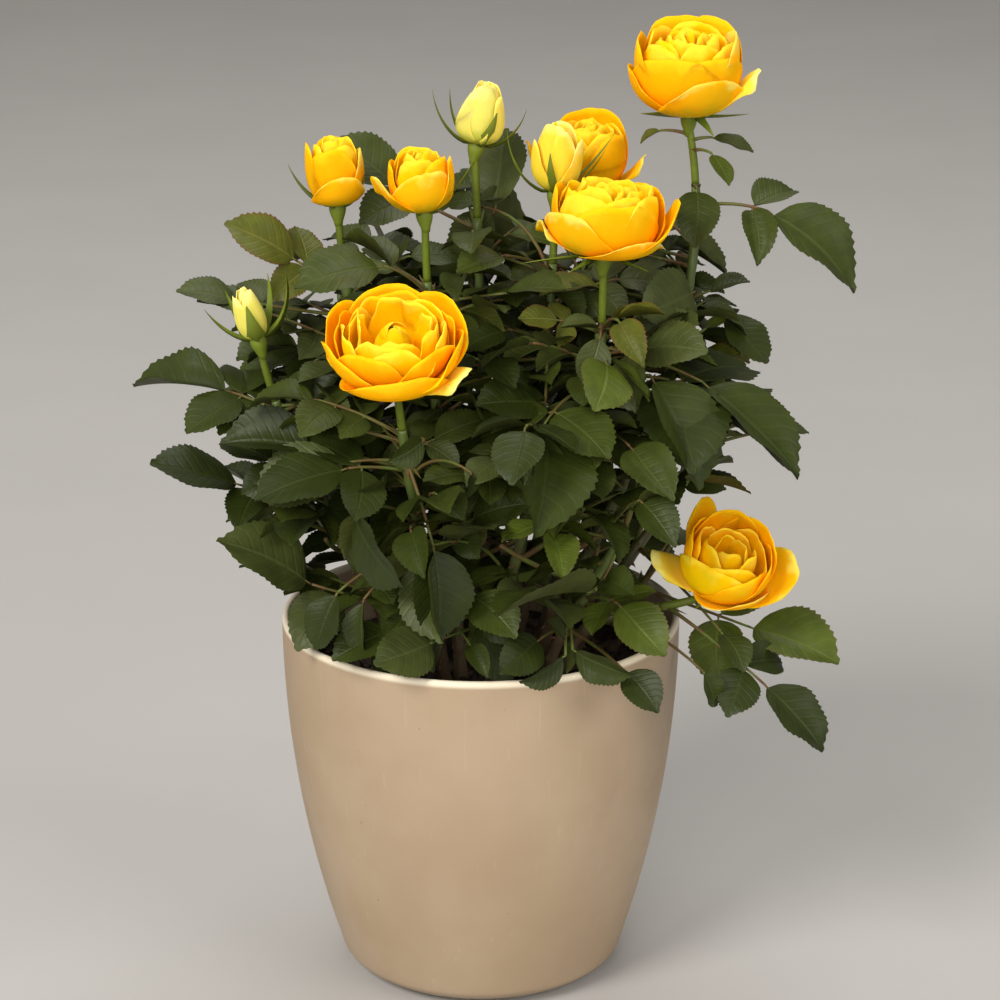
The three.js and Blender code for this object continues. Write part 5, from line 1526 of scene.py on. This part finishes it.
        (3, 100, (0.18, 0.86), (0.30, 0.46), 0.36, 0.4, 0.0, 0.05, 0.0, "bright"),
    ],
}
# Sepals of each flower: where each stands round the heart, how far it leans from the axis at the foot, how
# much it turns toward its tip, all in degrees, then its length and half width
SEPALS = {
    "right_tall": [(168, 88, -10, 17, 3.2), (10, 92, -14, 21, 1.9), (52, 108, 6, 13, 3.2),
                   (240, 88, -10, 15, 2.6), (306, 88, -10, 15, 2.6)],
    "right_back": [(20, 86, -14, 15, 2.4), (92, 96, -10, 14, 2.4), (164, 86, -14, 15, 2.4),
                   (236, 90, -12, 15, 2.4), (308, 90, -12, 15, 2.4)],
    "right_inner": [(170, 88, -86, 33, 1.9), (104, 74, -72, 22, 3.0), (36, 70, -44, 29, 1.5),
                    (330, 64, -30, 33, 1.5), (250, 66, -50, 20, 2.2)],
    "right_front": [(168, 92, 6, 30, 1.9), (126, 96, 0, 21, 2.2), (40, 96, -6, 19, 2.2),
                    (250, 90, -10, 16, 2.2), (310, 90, -10, 16, 2.2)],
    "middle": [(182, 92, -80, 28, 1.9), (2, 96, -94, 25, 2.0), (66, 80, -78, 21, 3.8),
               (214, 88, -84, 25, 1.7), (300, 80, -74, 20, 2.6)],
    "middle_left": [(116, 84, -82, 16, 2.2), (34, 84, -80, 21, 2.3), (350, 70, -42, 30, 1.6),
                    (216, 80, -60, 16, 2.2), (280, 80, -60, 16, 2.2)],
    "left_tall": [(176, 80, -66, 25, 2.6), (112, 84, -92, 17, 2.6), (20, 84, -80, 18, 2.2),
                  (226, 80, -60, 17, 2.2), (300, 80, -60, 17, 2.2)],
    "front_left": [(60, 84, 6, 16, 2.4), (132, 84, 6, 16, 2.4), (204, 88, -10, 16, 2.4),
                   (276, 88, -10, 16, 2.4), (348, 88, -10, 16, 2.4)],
    "left": [(182, 78, -64, 23, 2.4), (350, 88, -92, 31, 3.2), (84, 70, -76, 20, 4.2),
             (236, 80, -74, 24, 2.8), (304, 80, -78, 27, 2.8)],
    "right_low": [(120, 88, -12, 18, 2.6), (192, 88, -10, 16, 2.4), (48, 88, -10, 16, 2.4),
                  (264, 88, -10, 16, 2.4), (336, 88, -10, 16, 2.4)],
}
HIP_PROFILE = [(0, -5.0), (1.55, -4.4), (1.9, -2.6), (2.5, -1.0), (3.1, 0.8), (3.35, 2.4), (3.0, 4.2),
               (2.2, 5.0), (0, 5.3)]
HIP_SIDES = 16
SEPAL_ROWS = 12


def sepal(root, outward, sideways, upward, lean, turn, length, half_width):
    """A narrow pointed blade that leaves the hip at a lean and turns along its length."""
    shares = np.linspace(0, 1, SEPAL_ROWS)
    angles = np.radians(lean + turn * shares**0.55)
    steps = length / (SEPAL_ROWS - 1)
    out = np.concatenate([[0], np.cumsum(np.sin(angles[:-1]))]) * steps
    rise = np.concatenate([[0], np.cumsum(np.cos(angles[:-1]))]) * steps
    middle = root + outward * out[:, None] + upward * rise[:, None]
    face = upward * np.sin(angles)[:, None] - outward * np.cos(angles)[:, None]
    wide = half_width * np.clip(1 - shares, 0.02, 1) ** 0.75 * np.clip(0.7 + 2.2 * shares, 0, 1)
    return folded_strip(middle, sideways, wide, face * (wide * 0.75)[:, None])


flower_nodes = []
for shoot in SHOOTS:
    if "flower" in shoot:
        flower_nodes.append(("bud_" if shoot["flower"]["kind"] == "bud" else "rose_") + shoot["name"])
petal_tones = {"gold": GOLD, "bright": BRIGHT, "outer": OUTER, "pale": PALE, "bud": BUD}
petal_sheets = {name: [] for name in petal_tones}
sepal_parts, hip_parts, flower_stalk_parts = [], [], []
for shoot in SHOOTS:
    if "flower" not in shoot:
        continue
    flower = shoot["flower"]
    rng = np.random.default_rng(900 + shoot["number"])
    half, height = flower["width"] / 2, flower["height"] - HIP_HEIGHT
    facing, across = facing_of(flower)
    over = np.cross(across, facing)
    base = shoot["curve"](1.0)
    set_in = np.stack([across, over, facing])
    aside = flower["toward"] - 270
    for count, first, rim, belly, half_width, wave, curl, flat, roll, tone_name in BLOOMS[shoot["name"]]:
        for i in range(count):
            jitter = rng.uniform(-PETAL_JITTER, PETAL_JITTER) if count > 1 else 0
            angle = first + aside + 360 / count * i + jitter
            rim_out = half * rim[0] * rng.uniform(0.96, 1.03)
            rim_at = (rim_out, HIP_HEIGHT + height * rim[1] * rng.uniform(0.97, 1.02))
            belly_at = (half * belly[0], HIP_HEIGHT + height * belly[1])
            made = petal(rng, angle, rim_at, belly_at, half * half_width, wave, curl, flat, roll)
            petal_sheets[tone_name].append((made[0] @ set_in + base, *made[1:]))

    hip_points, hip_quads = turned(HIP_PROFILE, HIP_SIDES)
    hip_parts.append((hip_points @ set_in + base, hip_quads, np.zeros((0, 3), int)))
    for angle, lean, curved, length, half_width in SEPALS[shoot["name"]]:
        turn = math.radians(angle + aside)
        outward = across * math.cos(turn) + over * math.sin(turn)
        root = base + facing * 3.0 + outward * 2.5
        sideways = np.cross(facing, outward)
        sepal_parts.append(sepal(root, outward, sideways, facing, lean, curved, length, half_width))
    shares = np.linspace(shoot["foliage_to"], 1, 14)
    flower_stalk_parts.append(tube(shoot["curve"](shares), stem_radius(shares) * 0.96, STEM_SIDES))

for name, tones in petal_tones.items():
    finish = petal_finish(f"petal_{name}", tones, PETAL_ROUGHNESS)
    add_joined(f"petals_{name}", petal_sheets[name], finish, flower_nodes, True)
sepal_skin = plain_skin("sepal_skin", SEPAL_GREEN, FLOWER_STALK_GREEN, 0.5)
add_joined("sepals", sepal_parts, sepal_skin, flower_nodes)
add_joined("hips", hip_parts, sepal_skin, flower_nodes)
add_joined("flower_stalks", flower_stalk_parts, flower_stalk_skin, flower_nodes)

# Studio
# A plain pale floor and wall, a large soft light from the upper left, weaker ones from the front, the right
# and above, and the camera where the photograph was taken from: 1.2 m away, looking a little down.

CAMERA_AT = (7.7, -1200.0, 595.0)
CAMERA_PITCH = 18.37
CAMERA_LENS = 114.2
FLOOR_GREY = (0.42, 0.405, 0.388, 1)
WALL_GREY = (0.27, 0.252, 0.240, 1)
FLOOR_AT = -0.4
STUDIO_SIDE = 4000
STUDIO_FRONT = -3000
STUDIO_BACK = 2600
STUDIO_TOP = 5000
# Name, place, aim, width, watts and colour of each light
SOFT_LIGHTS = [
    ("key", (-1.5, -1.9, 2.1), (0, 0, 0.2), 1.3, 80, (1.0, 0.975, 0.93)),
    ("fill", (1.9, -1.3, 1.2), (0, 0, 0.2), 1.8, 25, (1.0, 0.98, 0.95)),
    ("front", (-0.3, -2.35, 0.95), (0.05, 0, 0.2), 1.4, 30, (1.0, 0.985, 0.95)),
    ("top", (0.1, 0.9, 2.4), (0, 0, 0.25), 1.6, 26, (1.0, 0.99, 0.97)),
]
AIR_LIGHT = 0.31
AIR_COLOUR = (1.0, 0.985, 0.96, 1)


def studio_finish(name, colour):
    duller = (*(c * 0.97 for c in colour[:3]), 1)
    return two_tone(name, (colour, duller), 6.0, 300.0, 0.9)


def studio_sheet(name, corners, finish):
    mesh = bpy.data.meshes.new(name)
    mesh.from_pydata([tuple(c * 0.001 for c in corner) for corner in corners], [], [(0, 1, 2, 3)])
    mesh.materials.append(finish)
    sheet = bpy.data.objects.new(name, mesh)
    bpy.context.scene.collection.objects.link(sheet)


floor_front = [(-STUDIO_SIDE, STUDIO_FRONT, FLOOR_AT), (STUDIO_SIDE, STUDIO_FRONT, FLOOR_AT)]
wall_foot = [(-STUDIO_SIDE, STUDIO_BACK, FLOOR_AT), (STUDIO_SIDE, STUDIO_BACK, FLOOR_AT)]
wall_top = [(STUDIO_SIDE, STUDIO_BACK, STUDIO_TOP), (-STUDIO_SIDE, STUDIO_BACK, STUDIO_TOP)]
studio_sheet("floor", floor_front + wall_foot[::-1], studio_finish("studio_floor", FLOOR_GREY))
studio_sheet("wall", wall_foot + wall_top, studio_finish("studio_wall", WALL_GREY))


def soft_light(name, at, aim, size, watts, colour):
    lamp = bpy.data.lights.new(name, "AREA")
    lamp.shape = "DISK"
    lamp.size = size
    lamp.energy = watts
    lamp.color = colour
    light = bpy.data.objects.new(name, lamp)
    light.location = at
    towards = np.array(aim) - np.array(at)
    lean = math.atan2(math.hypot(towards[0], towards[1]), -towards[2])
    light.rotation_euler = (lean, 0, math.atan2(towards[1], towards[0]) - math.pi / 2)
    bpy.context.scene.collection.objects.link(light)


for light in SOFT_LIGHTS:
    soft_light(*light)

world = bpy.data.worlds.new("studio_air")
world.use_nodes = True
world.node_tree.nodes["Background"].inputs["Color"].default_value = AIR_COLOUR
world.node_tree.nodes["Background"].inputs["Strength"].default_value = AIR_LIGHT
bpy.context.scene.world = world
bpy.context.scene.view_settings.view_transform = "Standard"

camera = bpy.data.objects.new("camera", bpy.data.cameras.new("camera"))
camera.location = [c * 0.001 for c in CAMERA_AT]
camera.rotation_euler = (math.radians(90 - CAMERA_PITCH), 0, 0)
camera.data.lens = CAMERA_LENS
camera.data.sensor_width = 36
camera.data.sensor_fit = "HORIZONTAL"
camera.data.clip_end = 20
bpy.context.scene.collection.objects.link(camera)
bpy.context.scene.camera = camera
